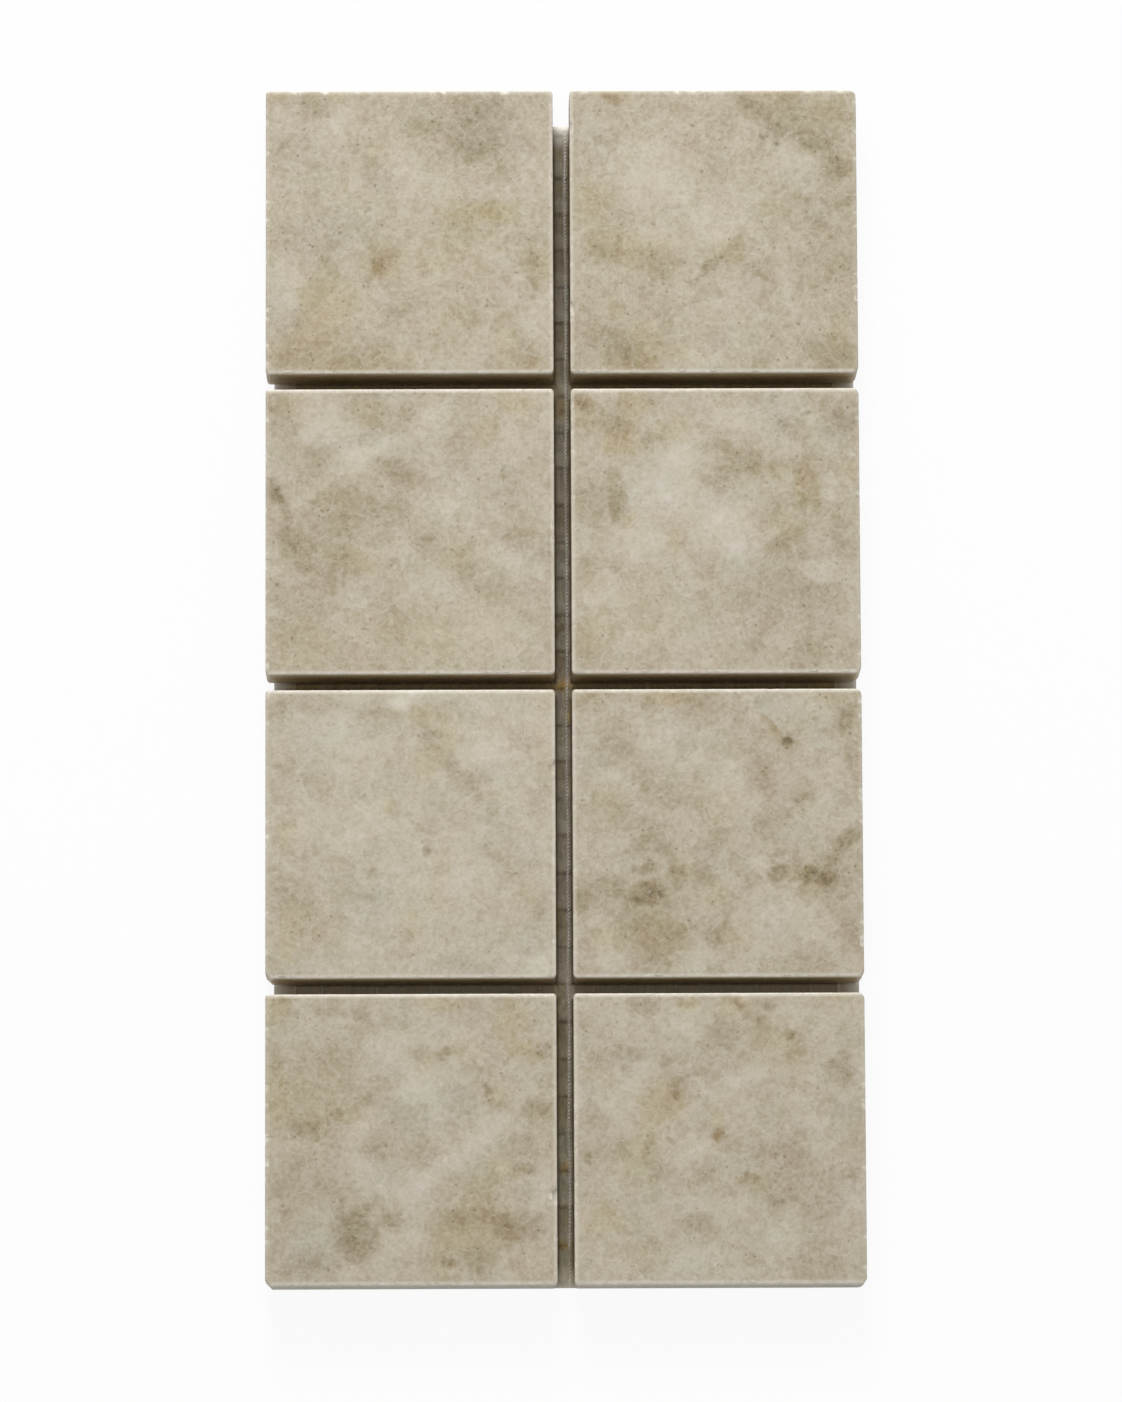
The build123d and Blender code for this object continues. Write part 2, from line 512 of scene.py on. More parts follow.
MARKS["tile_row1_right"] = {
    "cloud": [(6, 22, 2.5, 1.2, -45, 0.7), (13, 19.5, 7, 3.5, -25, 0.65), (10, 18.2, 1.6, 1.4, 0, 0.5),
        (17.5, 14.8, 3.5, 2, -20, 1.1), (20.8, 11, 2, 1.6, 0, 1.5), (21, 20, 3, 3, 0, 0.4),
        (22.5, 5.5, 2.5, 0.9, 35, 0.8), (17.5, 2, 1.3, 0.9, 0, 0.8), (14.5, 6, 1.5, 1, 0, 0.6),
        (3, -2.3, 2.8, 0.8, 48, 0.7), (-3.5, -8, 1.2, 0.8, 20, 0.6), (-18.5, -3, 2.6, 2, 0, 0.8),
        (-11, -4.8, 3.5, 1.8, -10, 0.6), (-8, -7.5, 1.4, 1.6, 0, 0.6), (-16, -19, 3.2, 2.2, -20, 0.8),
        (-13.5, -22, 3, 1.4, 0, 0.7), (-22, -18, 2, 3, 0, 0.4), (-9, -13.5, 2, 1.2, 0, 0.5),
        (19, -21, 3.5, 2.5, 0, 0.9), (21, -14, 2.5, 2, 20, 0.6), (19, -5, 4.5, 5, 0, 0.45),
        (8, -6, 3, 2, 0, 0.4), (-6.5, 4, 1.6, 0.8, 0, 0.5), (-22, 12, 1.5, 3, 0, 0.3)],
    "clast": [(8, 16, 0.45, 0.4, 0, 1.4), (10.7, 15.7, 0.5, 0.45, 0, 1.4), (-1, -6, 3.2, 0.7, 38, 0.95)],
    "pale": [(-11, 10, 4.5, 4.5, 0, 0.8), (-6, 8, 3, 4, 0, 0.5), (12.5, 12.5, 3, 2.5, -45, 0.6),
        (0, 2, 9, 4, 25, 0.45), (3, -9.5, 4, 3, 0, 0.4), (-2, -20, 5, 3.5, 0, 0.5),
        (12.2, -9, 1.3, 5, 0, 0.5), (-9, 17, 5, 3, 0, 0.35)],
    "rust": [(-16.5, 22.3, 1.3, 0.9, -30, 1)],
    "tan": [(-16.5, 23, 2.5, 1.5, 0, 0.6), (10, 23.5, 6, 1, 0, 0.4), (19, 21, 3, 2, 0, 0.3),
        (-20, 5, 3, 4, 0, 0.4), (-17, -2, 4, 2.5, 0, 0.4), (-11, -4, 5, 3, 0, 0.35),
        (2.5, -3.5, 2.5, 2.5, 0, 0.45), (-16.5, -13.5, 2, 2, 0, 0.35), (-11.5, -19, 2.5, 4, 0, 0.5),
        (-13, -23, 4, 1.5, 0, 0.5), (-5, -21, 3, 2, 0, 0.25), (21, -18, 2, 3, 0, 0.35),
        (10, 3.5, 2, 1.5, 0, 0.25), (22, 11, 1.5, 2, 0, 0.25)],
    "cool": [(-19, 14, 3, 4, 0, 0.5), (-22, 18, 2, 3, 0, 0.4), (16, 11, 5, 5, 0, 0.35),
        (18.5, 4, 2.5, 3, 0, 0.6), (9, 17, 4, 2, 0, 0.4), (1, 16, 2, 6, 0, 0.25),
        (0.5, -18.5, 2.5, 2, 0, 0.45), (-6.5, 4.5, 2, 1.5, 0, 0.35), (7, -7, 2, 4, 0, 0.3)],
}
print("row 1 has", mark_count(), "marks")

# %% [markdown]
# On the left tile of row 2, taupe covers the left half, with one firm clast near the middle. The
# right tile has a pale body beside a tan far corner. Marks scattered at random would lose such
# neighbours, so this row is a list too, and each mark can be moved by itself.

# %% Marks on row 2
MARKS["tile_row2_left"] = {
    "cloud": [(1.5, 8, 2.5, 1.5, -20, 0.6), (-22.6, 7, 1, 2, 20, 1.1), (-21.2, 4.4, 0.8, 3.6, 20, 1.0),
        (-20, -1, 1.8, 2, 0, 0.8), (-9, 4, 8, 4.5, 0, 0.55), (-14, -2, 6, 5, 0, 0.4),
        (-13.5, -8.5, 4.5, 2.2, 0, 0.6), (-18, -4, 2, 2.5, 30, 0.6), (-11, -5.5, 1.5, 1.5, 0, 0.5),
        (2.5, -1, 1.8, 2, 0, 0.6), (-7, 20.5, 3.5, 2.5, -30, 0.55), (-1, 19, 1.6, 3, 0, 0.55),
        (-3, 17, 2, 1, -30, 0.4), (8, 16, 2.5, 5, 0, 0.45), (-16.5, 12.8, 3, 2, 0, 0.6),
        (-21.5, 18.5, 2.5, 3.5, 0, 0.6), (9.5, -6.5, 2.5, 1.8, -30, 0.3), (18.3, -0.7, 2.6, 1.6, 0, 0.55),
        (14.5, 5, 3, 1.8, 0, 0.4), (17, 9, 1.5, 1, -45, 0.4), (-18.5, -15, 4, 3.5, 0, 0.5),
        (-3.5, -15.5, 3.5, 4, 0, 0.3), (19, -14, 1.6, 1, -40, 0.7), (14, -11, 4, 1.5, 0, 0.3),
        (-22, -10, 1.5, 2, 0, 0.6), (23, -4, 1, 3, 0, 0.5), (-12, -20, 2, 2, 0, 0.3)],
    "clast": [(-2.8, 10.5, 3.4, 1.7, -22, 0.85), (-5.7, 2.6, 0.9, 0.9, 0, 0.8), (-4, 1, 0.6, 0.5, 0, 0.6)],
    "pale": [(-5.5, 14.2, 5.5, 1.1, 18, 0.65), (-9.5, 11, 3.2, 2.2, 0, 0.7), (-14, 17.5, 4, 3, 0, 0.5),
        (4.5, 19, 2.5, 3, 0, 0.5), (-16.5, 6.5, 3.5, 1.4, 30, 0.5), (8, 3.5, 4.5, 3.5, 0, 0.45),
        (15, -5, 4.5, 2.5, 0, 0.4), (5, -9.5, 4.5, 2.5, 0, 0.55), (21, -6, 2, 2.5, 0, 0.4),
        (-9.5, -10, 2.6, 1.8, 0, 0.55), (12, -17, 6, 4, 0, 0.35), (20, 14, 3, 4, 0, 0.35)],
    "tan": [(-6, 19.5, 3.5, 2.5, -30, 0.3), (13, 17, 2, 2.5, 0, 0.35), (-20, 21, 3, 1.5, 0, 0.25),
        (17.5, 22, 3, 2.5, 0, 0.5), (-9, -5, 4, 2, 0, 0.45), (8, -4, 4, 2, 0, 0.3),
        (-3, -19, 10, 6, 0, 0.22), (-18, -19, 5, 4, 0, 0.3), (11, -16, 9, 6, 0, 0.2),
        (19, -1, 2, 1.5, 0, 0.25), (-12, 4, 3, 4, 0, 0.2)],
    "cool": [(-4, 23.5, 6, 1, 0, 0.7), (-8, 15.5, 6, 1.5, 15, 0.7), (-15, 16, 3, 2, 0, 0.4),
        (-1, 14, 4, 2, 0, 0.4), (9, 9, 6, 3, 0, 0.4), (20, -4, 4, 2.5, 0, 0.5), (16, 8, 2, 3, 0, 0.4),
        (6, -10, 2.5, 2, 0, 0.4), (-22, 9, 2, 3, 0, 0.35), (-8, -10, 2, 2, 0, 0.3)],
}
MARKS["tile_row2_right"] = {
    "cloud": [(-22, 21, 2, 1.5, -20, 0.9), (-16.5, 18, 4, 2, -35, 0.85), (-13, 21.5, 3, 1.5, 0, 0.4),
        (-10, 15.5, 2, 1.2, -20, 0.5), (-20, 5, 3.5, 3.5, 0, 0.6), (-17, 8.5, 1.2, 1.5, 0, 0.5),
        (7, 11.2, 4.5, 1.9, -12, 0.9), (2, 14, 1.6, 1, 0, 0.7), (1, 9.5, 3, 3, 0, 0.5),
        (15, 11, 1.8, 1.5, 0, 0.8), (15.2, 6.5, 2, 3.5, -10, 0.65), (12.3, -2, 2.8, 1.2, 42, 0.95),
        (12.7, 18, 1.6, 1, -20, 0.9), (15.5, 16.8, 1.2, 0.8, 0, 0.6), (21.3, 18, 2.6, 2.8, 0, 0.85),
        (18, 21, 3, 2, 0, 0.4), (20.5, 0, 1.6, 4, -10, 0.65), (21.3, -4.5, 1.5, 2, 0, 0.6),
        (15.5, -4.5, 1, 1, 0, 0.5), (16, -10, 1, 0.7, 0, 0.5), (4, -11.5, 3, 2, -30, 0.3),
        (-2, -7.2, 1.4, 0.9, 0, 0.5), (7.2, -18.8, 0.9, 1.4, 0, 0.8), (15.5, -21, 1.8, 1.8, 0, 0.9),
        (10, -9, 5, 4, 0, 0.35), (20, -20, 3, 2, 0, 0.4), (13, -15, 7, 5, 0, 0.3),
        (-21, -5.5, 1.6, 1.8, 0, 0.55), (-22, -19, 1.5, 3, 0, 0.4), (9, 3, 3, 2, 30, 0.3)],
    "clast": [(-16.2, 4.5, 1.5, 2.6, -15, 1.2), (5.2, -2, 0.6, 0.5, 0, 0.6)],
    "pale": [(-7.5, 9.5, 5, 3.5, 15, 0.9), (-10, 4, 3.5, 4, 0, 0.6), (-13, -2.5, 4, 2.5, 0, 0.75),
        (0.5, 0.5, 5, 4.5, 0, 0.65), (4, -3, 3, 2, 0, 0.4), (-3, 3, 4, 3, 0, 0.4),
        (4.5, 18.5, 4.5, 2.2, 0, 0.6), (-6, 14, 2, 3, 0, 0.4), (-18.5, -11.5, 4, 2, 0, 0.4),
        (-10, -16, 8, 4, 0, 0.3), (16, -7, 2, 2, -30, 0.4)],
    "rust": [(-22.3, 21.3, 1.4, 1, -20, 0.7)],
    "tan": [(-13.5, 21, 2.5, 3, 0, 0.6), (-16, 15, 3.5, 2.5, 0, 0.75), (-22, 20, 2, 2.5, 0, 0.5),
        (-7, 17, 2.5, 2.5, 0, 0.35), (15, 7.5, 2, 3.5, 0, 0.55), (9, 10, 3, 1.5, 0, 0.3),
        (22, 10, 1.5, 2, 0, 0.35), (-15, 1.5, 2, 1, 30, 0.4), (-6.5, -2, 2, 2, 0, 0.35),
        (12, 0, 3, 2.5, 0, 0.3), (-20, -17, 3, 4, 0, 0.35), (-11, -15, 5, 6, 0, 0.2),
        (1, -21, 2, 3, 0, 0.25), (-20.5, -8.5, 1.5, 2, 0, 0.3)],
    "cool": [(10, 19.5, 4, 4, 0, 0.75), (21, 18, 3, 3, 0, 0.85), (-10, 6, 4, 3, 0, 0.6),
        (-11, 10, 4, 2, 0, 0.35), (0.5, 5, 3, 3, 0, 0.4), (4, -4.5, 3, 3, 0, 0.7),
        (12, 5, 1, 1.5, 0, 0.4), (18, -9, 4, 8, 0, 0.3), (9, -11, 5, 5, 0, 0.2),
        (-22, -1, 1.5, 2, 0, 0.4)],
}
print("rows 1 and 2 have", mark_count(), "marks")

# %% [markdown]
# Row 3 has the quietest tile and the busiest one side by side. The left one needs only faint
# clouds. On the right one, firm clasts crowd the near half, and the small dark spot near the far
# edge has a rusty tail: it is a clast and a thin, turned rust mark together.

# %% Marks on row 3
MARKS["tile_row3_left"] = {
    "cloud": [(4.5, 14.5, 5.5, 1.3, -55, 0.45), (9, 8.5, 4, 1.5, -45, 0.5), (6.5, 20, 1.4, 1.8, 0, 0.55),
        (10.5, 5.2, 1.4, 0.9, 30, 0.55), (2.5, 17, 1.5, 2, 0, 0.4), (2.5, 0.8, 1.8, 1.4, 0, 0.4),
        (-6, -6, 1.2, 0.9, 0, 0.4), (-10.8, -6, 2, 1.6, -20, 0.5), (-16.5, 21.5, 4.5, 1.3, 0, 0.5),
        (-4.5, 20.5, 3.5, 0.7, 0, 0.55), (-22, 21, 2, 2, 0, 0.4), (-20.5, -11, 3.5, 3, 0, 0.55),
        (-16, -16, 4, 4, 0, 0.4), (-22, -22, 2.5, 1.2, -40, 0.7), (18, -6, 3.2, 2.6, 0, 0.55),
        (21.5, -12.5, 1.6, 1.8, 0, 0.5), (19, 15, 2.5, 2, 0, 0.4), (21, 6, 1.8, 2, 0, 0.4),
        (15, 2, 2.5, 1.6, 0, 0.35), (14, -4, 2, 1, -30, 0.35), (-20.5, 8, 2.5, 5.5, 0, 0.4),
        (-15, 7, 1.8, 1.4, 0, 0.15), (-9, 8, 1, 1.5, 0, 0.3), (-2.6, 4.5, 0.9, 2.6, 0, 0.4),
        (9, -21.7, 3.5, 1.2, 0, 0.4), (-7.2, -10, 1.2, 0.8, 0, 0.45), (-12, -10, 3, 2, 0, 0.3)],
    "clast": [(2.5, -2.3, 0.6, 0.8, 0, 1.2), (-23, -5.3, 1, 0.8, 0, 1), (23.2, 11, 0.6, 0.8, 0, 0.9)],
    "pale": [(13, 15, 4, 2.2, -50, 0.55), (-1, 22.6, 2.3, 1.2, 0, 1.5), (10, -6, 2.5, 5, 0, 0.4),
        (-8, 2, 7, 3.5, 0, 0.4), (21.5, -22, 2.5, 1.8, 0, 0.6), (-8, -15, 4, 4, 0, 0.3),
        (-13, 16, 5, 3, 0, 0.25), (10, 21, 3, 1.5, 0, 0.3)],
    "tan": [(2.5, 20, 2.5, 1.2, 0, 0.5), (3, 11.5, 2, 3, 0, 0.45), (6, 16, 2, 4, 0, 0.35),
        (5, -5.5, 1.5, 3, 0, 0.3), (0, -15, 2, 3, 0, 0.35), (4, -11, 2, 2.5, 0, 0.3),
        (-3.5, 5, 1.2, 2, 0, 0.35), (-20, 0, 2, 2.5, 0, 0.4), (-20, -17, 2.5, 5, 0, 0.35),
        (22, 22, 2, 2, 0, 0.35), (19, -10, 2.5, 1.5, 0, 0.35), (14, 6.5, 2, 1, 0, 0.25),
        (-14, -15, 4, 4, 0, 0.2), (22, 14, 1.5, 4, 0, 0.25)],
    "cool": [(-16.5, 16, 4, 4, 0, 0.5), (-7, -13, 4, 5, 0, 0.5), (10, -22.5, 7, 1.5, 0, 0.7),
        (20, -19, 2.5, 3, 0, 0.6), (14, 1, 3, 4, 0, 0.35), (14, 10, 2.5, 2, 0, 0.5),
        (20, -2.5, 2, 2, 0, 0.5), (-18, -22.5, 4, 1, 0, 0.4), (-10, 19, 3, 4, 0, 0.35),
        (-5, -9.5, 2, 2, 0, 0.3)],
}
MARKS["tile_row3_right"] = {
    "cloud": [(-22.7, -10.5, 1.8, 2.2, 0, 1.1), (-17.8, -9.2, 2.2, 1.4, 0, 0.8),
        (-11.5, 0.6, 2.2, 1.6, 0, 0.55), (-12.5, -2.5, 2.5, 1.5, 0, 0.4), (-10, -13, 6, 3, 0, 0.4),
        (20.3, -2.5, 4, 1.1, 50, 1.3), (19, -8, 4, 2.5, 0, 0.5), (14, -3, 4, 1.5, 10, 0.4),
        (12.6, -6.8, 5, 1.5, -6, 0.55),
        (12.2, 15.4, 2, 1.3, -20, 0.6), (21, 19, 1.6, 2.3, 10, 1.1), (22.3, 13, 1.2, 3.5, 0, 0.5),
        (-21, 21.5, 2.8, 1.7, 0, 0.6), (-11.5, 21.5, 1.7, 1.4, 0, 0.6), (-3, 22, 2, 1.6, 0, 0.6),
        (-17, 18, 2.5, 1.2, 30, 0.45), (7, 9.2, 1.8, 2.8, 0, 0.6), (13.7, 5, 3, 0.8, 48, 0.6),
        (9, 2, 3, 1.4, 0, 0.45), (6, 0, 1.3, 0.4, -20, 0.6), (0.8, -14.8, 2.8, 0.7, 62, 0.8),
        (-1.6, -17.3, 1.6, 1.1, 0, 0.75), (5, -9, 2, 1.1, 40, 0.6), (-10.8, -17.3, 5, 3.2, 0, 0.55),
        (-10, -21, 2.2, 1.4, 0, 0.6), (-16, 13, 3, 3, 0, 0.45), (-7, 6, 3.5, 1.8, -15, 0.5),
        (-13, 8.5, 2, 2, 45, 0.35), (15, -21, 3, 1.6, 0, 0.5), (22, -17, 1.6, 2.6, 0, 0.5)],
    "clast": [(-12, -10, 2.8, 2, 8, 1.65), (-12.2, -6.2, 2.2, 1, 0, 1.1), (-8.6, -3.2, 1.6, 1.1, -40, 1),
        (-6.7, -6.8, 1.8, 2, 0, 0.9), (-2.5, -7.3, 1.7, 1.4, 0, 0.8), (16, -7.6, 2.9, 1.3, 0, 1.25),
        (10, -6.5, 1.6, 1.3, 0, 0.95), (11.6, 16, 1, 0.8, 0, 2.1)],
    "pale": [(-8, 16, 4.5, 5, 0, 0.6), (12, 21, 5, 2.2, 0, 0.6), (2, 9, 3.5, 3, -30, 0.6),
        (3, 5, 2, 2, 0, 0.4), (-17, 10, 2.5, 3, 0, 0.5), (15, 15, 2.5, 2, 0, 0.4),
        (9, -16, 6, 4.5, 0, 0.5), (14, -13, 3, 2, 0, 0.4), (-17.5, -19.5, 3, 2.5, 0, 0.5),
        (-3.5, -21.5, 3, 2, 0, 0.5), (7, -5, 1.2, 2, 0, 0.5), (18.5, 10, 2, 3.5, 0, 0.4),
        (-22.5, 12, 1, 2.5, 0, 0.5)],
    "rust": [(9.2, 18, 2.4, 0.6, -35, 0.6), (-6, -18, 1, 2, 0, 0.3)],
    "tan": [(-8.5, 23, 4.5, 1.5, 0, 0.75), (-21, 22.5, 3, 1, 0, 0.45), (-9.5, -16.5, 4.2, 3.5, 0, 0.45),
        (-12, -10, 3, 2, 0, 0.4), (15, -7.5, 3.5, 1.5, 0, 0.35),
        (-18, -17.5, 3, 2, 0, 0.35), (4, -17, 3, 2.5, 0, 0.3), (9, 17.5, 2.5, 1, -35, 0.4),
        (18, 23, 4, 1, 0, 0.4), (-6, -6, 2, 2, 0, 0.3), (-1, -10, 3, 2, 0, 0.3),
        (-18, 5, 3, 2.5, 0, 0.25), (0, 4, 3, 4, 0, 0.2), (15, -10, 2, 2, 0, 0.25)],
    "cool": [(9, 21, 3, 2, 0, 0.8), (-6.5, 17, 3, 3, 0, 0.55), (-21, 11.5, 3, 2.5, 0, 0.55),
        (-13.5, -10.5, 2, 1.5, 0, 0.2), (-16.5, -4.5, 2.5, 2, 0, 0.4), (14, 0, 3, 2, 0, 0.45),
        (9, -15, 3, 3, 0, 0.4), (17.5, 16, 2, 3, 0, 0.5), (20, 5, 2.5, 3, 0, 0.4),
        (-0.5, -4, 1.5, 1.5, 0, 0.4), (-1.5, -22.5, 3, 1.5, 0, 0.4)],
}
print("rows 1 to 3 have", mark_count(), "marks")

# %% [markdown]
# On the left tile of row 4 the beds climb to the right, so its pale marks are long and turned by
# about 40 degrees, and one large clast lies near the front edge. The right tile has its rust spot
# just off the middle. Small marks close to an edge are worth the trouble, because the eye follows
# the joints.

# %% Marks on row 4
MARKS["tile_row4_left"] = {
    "cloud": [(-7.8, -12.5, 2.5, 1.6, 0, 0.6), (15, -13.8, 2.4, 1.4, 0, 1.5), (9, -12.8, 4, 1.5, 0, 0.75),
        (20.5, -13.5, 2.5, 1.5, 0, 0.75), (11.2, -19.5, 2.6, 2.6, 0, 0.8), (18, -16.5, 4, 2, 0, 0.6),
        (12, -8, 2.5, 2.5, 0, 0.45), (21.6, 5, 2, 1.8, 0, 1), (18, -1.3, 3, 1.8, -10, 0.65),
        (18.6, -4.8, 1.6, 0.8, 0, 0.9), (11, 11.7, 1, 0.6, -20, 0.6), (13, 6, 2, 0.8, -30, 0.5),
        (1.3, 14.4, 0.9, 1.3, 0, 0.7), (21.8, 14.2, 1.2, 1.3, 0, 0.8), (-18, 2, 2.6, 1.8, 0, 0.8),
        (-16, 8, 5, 7, 0, 0.35), (-13.8, 20.5, 2.2, 0.8, -10, 0.8), (-8, 20, 1.6, 2.2, 0, 0.5),
        (-15, 13, 3.5, 2.5, 0, 0.4), (-22, 10, 1.5, 6, 0, 0.4), (-8, 7, 1.5, 1, 20, 0.5),
        (-5, -2, 2.2, 1.7, -30, 0.6), (2, -2, 2.5, 1.6, 20, 0.5), (-16, -6, 5, 3.5, 0, 0.4),
        (-20, -9.5, 2.5, 2.5, 0, 0.4), (-17, -21, 4.5, 1.8, 0, 0.55), (-21.5, -15, 2, 3, 0, 0.4)],
    "clast": [(-8.8, -16, 3.6, 3.8, 10, 1.3), (-2.8, -13.6, 1.9, 1.4, 0, 0.9),
        (-7, -10.5, 1, 0.8, 0, 0.8), (-11.7, -10.8, 0.9, 1.2, 0, 0.8), (6.6, -20.2, 1, 0.9, 0, 1.3),
        (12.6, 8.3, 0.9, 1, 0, 1.6), (13, 10.2, 0.6, 0.6, 0, 0.8), (5.3, 14, 0.9, 1.1, -30, 1.1),
        (-11.5, 4.6, 1.2, 0.8, 0, 1)],
    "pale": [(-7, -6, 3.5, 2.5, 0, 0.7), (0, -8.5, 3.5, 2.8, 0, 0.6), (4.5, -4.8, 4.5, 1.8, 40, 0.7),
        (11, -1, 4, 1.6, 45, 0.7), (14.8, 3.3, 1.6, 2.2, -40, 0.6), (-3, 14, 4, 2.8, 0, 0.6),
        (1.5, 9.5, 4, 2.2, 30, 0.6), (3, 5.5, 4.5, 3, 0, 0.5), (-7, 3.5, 2.5, 2.5, 0, 0.5),
        (7, 17.5, 4.5, 2.8, 0, 0.45), (-0.5, -16.8, 2.6, 2, 0, 0.6), (22, -7.5, 1.8, 2.6, 0, 0.6),
        (7, 11, 3, 2, 30, 0.4)],
    "rust": [(-20.5, 22.8, 1.5, 0.6, 0, 0.8), (17.5, -15.5, 2.5, 1, 0, 0.5), (6.8, -13, 1, 0.6, 0, 0.5)],
    "tan": [(-22, 22, 2.5, 2.5, 0, 0.6), (-22, 7, 1.5, 6, 0, 0.4), (-16, 6, 6, 7, 0, 0.25),
        (-9, 4, 2, 2, 0, 0.35), (5, 22.5, 4, 1.2, 0, 0.45), (16.5, 19, 2.5, 4, 0, 0.5),
        (19, 14.5, 2.5, 2, 0, 0.6), (3, 13, 2.5, 1, 40, 0.4), (9, 15, 3, 2, 0, 0.3),
        (14, 7.5, 2.5, 2, 0, 0.35), (15, -5, 3, 2, 0, 0.4), (11, -9, 5, 3, 0, 0.3),
        (6, -15.5, 3, 3, 0, 0.4), (12, -15, 5, 4, 0, 0.45), (5, -21, 3, 3, 0, 0.3),
        (20, -21, 4, 3, 0, 0.25), (22, 2, 1.5, 6, 0, 0.2)],
    "cool": [(-16.5, -18.5, 4, 4, 0, 0.95), (-12, -15, 5, 4, 0, 0.15), (-5, -5, 3, 3, 0, 0.5),
        (3, 5, 6, 3.5, 0, 0.6), (8, 7.5, 2, 1.5, 0, 0.6), (-4, 4, 2, 2, 0, 0.3),
        (-4.5, 13.5, 3, 2.5, 0, 0.5), (11, -3, 2, 3, 40, 0.4), (20, -8.5, 3, 1.5, 0, 0.5),
        (1, -9, 2.5, 2.5, 0, 0.35), (-1, 22, 1.5, 2.5, 0, 0.4), (4, 18, 2, 1.5, 0, 0.35)],
}
MARKS["tile_row4_right"] = {
    "cloud": [(0.5, 0.2, 1.8, 1.6, 0, 0.5), (-6, 9.6, 2.8, 0.9, 35, 0.55), (-9, 10, 1.5, 1, 0, 0.5),
        (5.2, 20.4, 2.6, 0.6, -45, 0.8), (-13, 21.5, 2.2, 1.6, 0, 0.75), (7.5, 22, 1.4, 1, 0, 0.9),
        (13.2, 15.3, 1.6, 2.4, -10, 0.7), (12, 17.5, 0.9, 0.8, 0, 0.8), (8, 18, 3, 2, -20, 0.4),
        (-16.5, -1.6, 1.4, 1.6, -20, 0.6), (-11.6, -1.5, 0.8, 1.2, -20, 0.9), (-20, 3, 1.6, 1.4, 0, 0.5),
        (20.5, 10.5, 1.3, 2, 15, 0.9), (20.7, 14, 1.2, 1, 0, 0.5), (-2, -5.6, 2.4, 1.4, 10, 0.7),
        (5.5, -6.5, 1.4, 0.8, -20, 0.8), (9, -10.5, 1.1, 0.9, 0, 0.9), (7.8, -12.5, 0.5, 1, 0, 0.5),
        (12, -3, 4.5, 2.5, 0, 0.6), (8.5, -7.5, 4.5, 3, -35, 0.5), (15, -8, 3.5, 3.5, 0, 0.45),
        (-12, -17, 2, 0.9, 0, 0.5), (-3.5, -14, 2.6, 1.8, 0, 0.5), (20.5, -6, 1.6, 1.2, 30, 0.6),
        (16, -18, 4.5, 5, 0, 0.35), (5, -19.5, 1.8, 1.4, 0, 0.4), (-10, -7, 2, 1.5, 0, 0.4),
        (-18, 14, 4.5, 1.6, 22, 0.5), (-9, 12.5, 2, 1.2, 30, 0.4), (0, 17, 4, 3, -20, 0.35),
        (14.5, 8, 3, 1.5, -20, 0.3), (-22, 19, 2, 2, 0, 0.4)],
    "clast": [(-7.5, 7.6, 0.8, 1.1, 0, 1.1), (-21.6, -2.6, 1, 1, 0, 1.1), (18.3, 12, 0.7, 0.5, 0, 0.8),
        (-15.5, -9.3, 0.6, 0.5, 0, 0.7)],
    "pale": [(-5, 19, 2.6, 3, 0, 0.6), (4, 10, 4.5, 1.7, 10, 0.55), (15, 2.3, 3.5, 1.5, 0, 0.55),
        (-16, 6.5, 2.8, 2.4, 0, 0.5), (-23, 6.5, 1, 2, 0, 0.5), (9.5, -16.5, 2.6, 2.4, 0, 0.55),
        (2, -12, 3.5, 1.8, 20, 0.5), (22, -10, 1.6, 2, 0, 0.5), (-5.5, -20, 2.8, 3, 0, 0.6),
        (4, -22.5, 2.5, 1, 0, 0.4), (-3.2, -2.6, 1.2, 1.8, -30, 0.6), (-13, 11, 2.5, 1.6, 30, 0.45),
        (-4, -10, 3, 1.5, 0, 0.4)],
    "rust": [(-0.9, 0.7, 1, 0.8, 0, 1.3), (3, 22.7, 1.8, 0.7, -20, 0.7), (-5.5, 22.6, 1.3, 0.7, 0, 0.6),
        (5, -6.3, 1, 0.6, 0, 0.4)],
    "tan": [(-4.5, 22.5, 1.5, 1.5, 0, 0.5), (2.5, 22, 3, 1.5, 0, 0.45), (19, 23.7, 3, 0.8, 0, 0.5),
        (-9, 6, 3.5, 3.5, 0, 0.6), (-12, 1, 2.5, 4, 0, 0.35), (-0.5, 2, 1.5, 3, 0, 0.45),
        (-19.5, -13.5, 3.5, 2.5, 0, 0.5), (-14, -4, 4, 4, 0, 0.25), (-13, -19.5, 4, 2, 0, 0.3),
        (9, 15.5, 4, 4, 0, 0.3), (13, 13, 2, 3, 0, 0.25), (6, -7, 3, 1.5, 0, 0.3),
        (-20, 10, 2.5, 1.5, 0, 0.3)],
    "cool": [(-14.5, 13.5, 4, 2, 0, 0.5), (-6.5, 14.5, 1.5, 1.2, 0, 0.5), (-2.5, 6, 1.2, 2, 0, 0.5),
        (21, 5, 3, 2, 0, 0.8), (14, 1.5, 5, 1.2, 0, 0.5), (21.5, -9.5, 2, 2.5, 0, 0.7),
        (-6.5, -11, 2.5, 1.5, 0, 0.4), (-5, -21, 4, 2, 0, 0.5), (2.5, 9.5, 4, 1.5, 0, 0.35),
        (-22, 7, 1.5, 2.5, 0, 0.5), (5, -3, 2, 2, 0, 0.3), (7, -16, 3, 1.5, 0, 0.4),
        (22, 11, 1.5, 2, 0, 0.4)],
}
print("the sheet has", mark_count(), "marks")

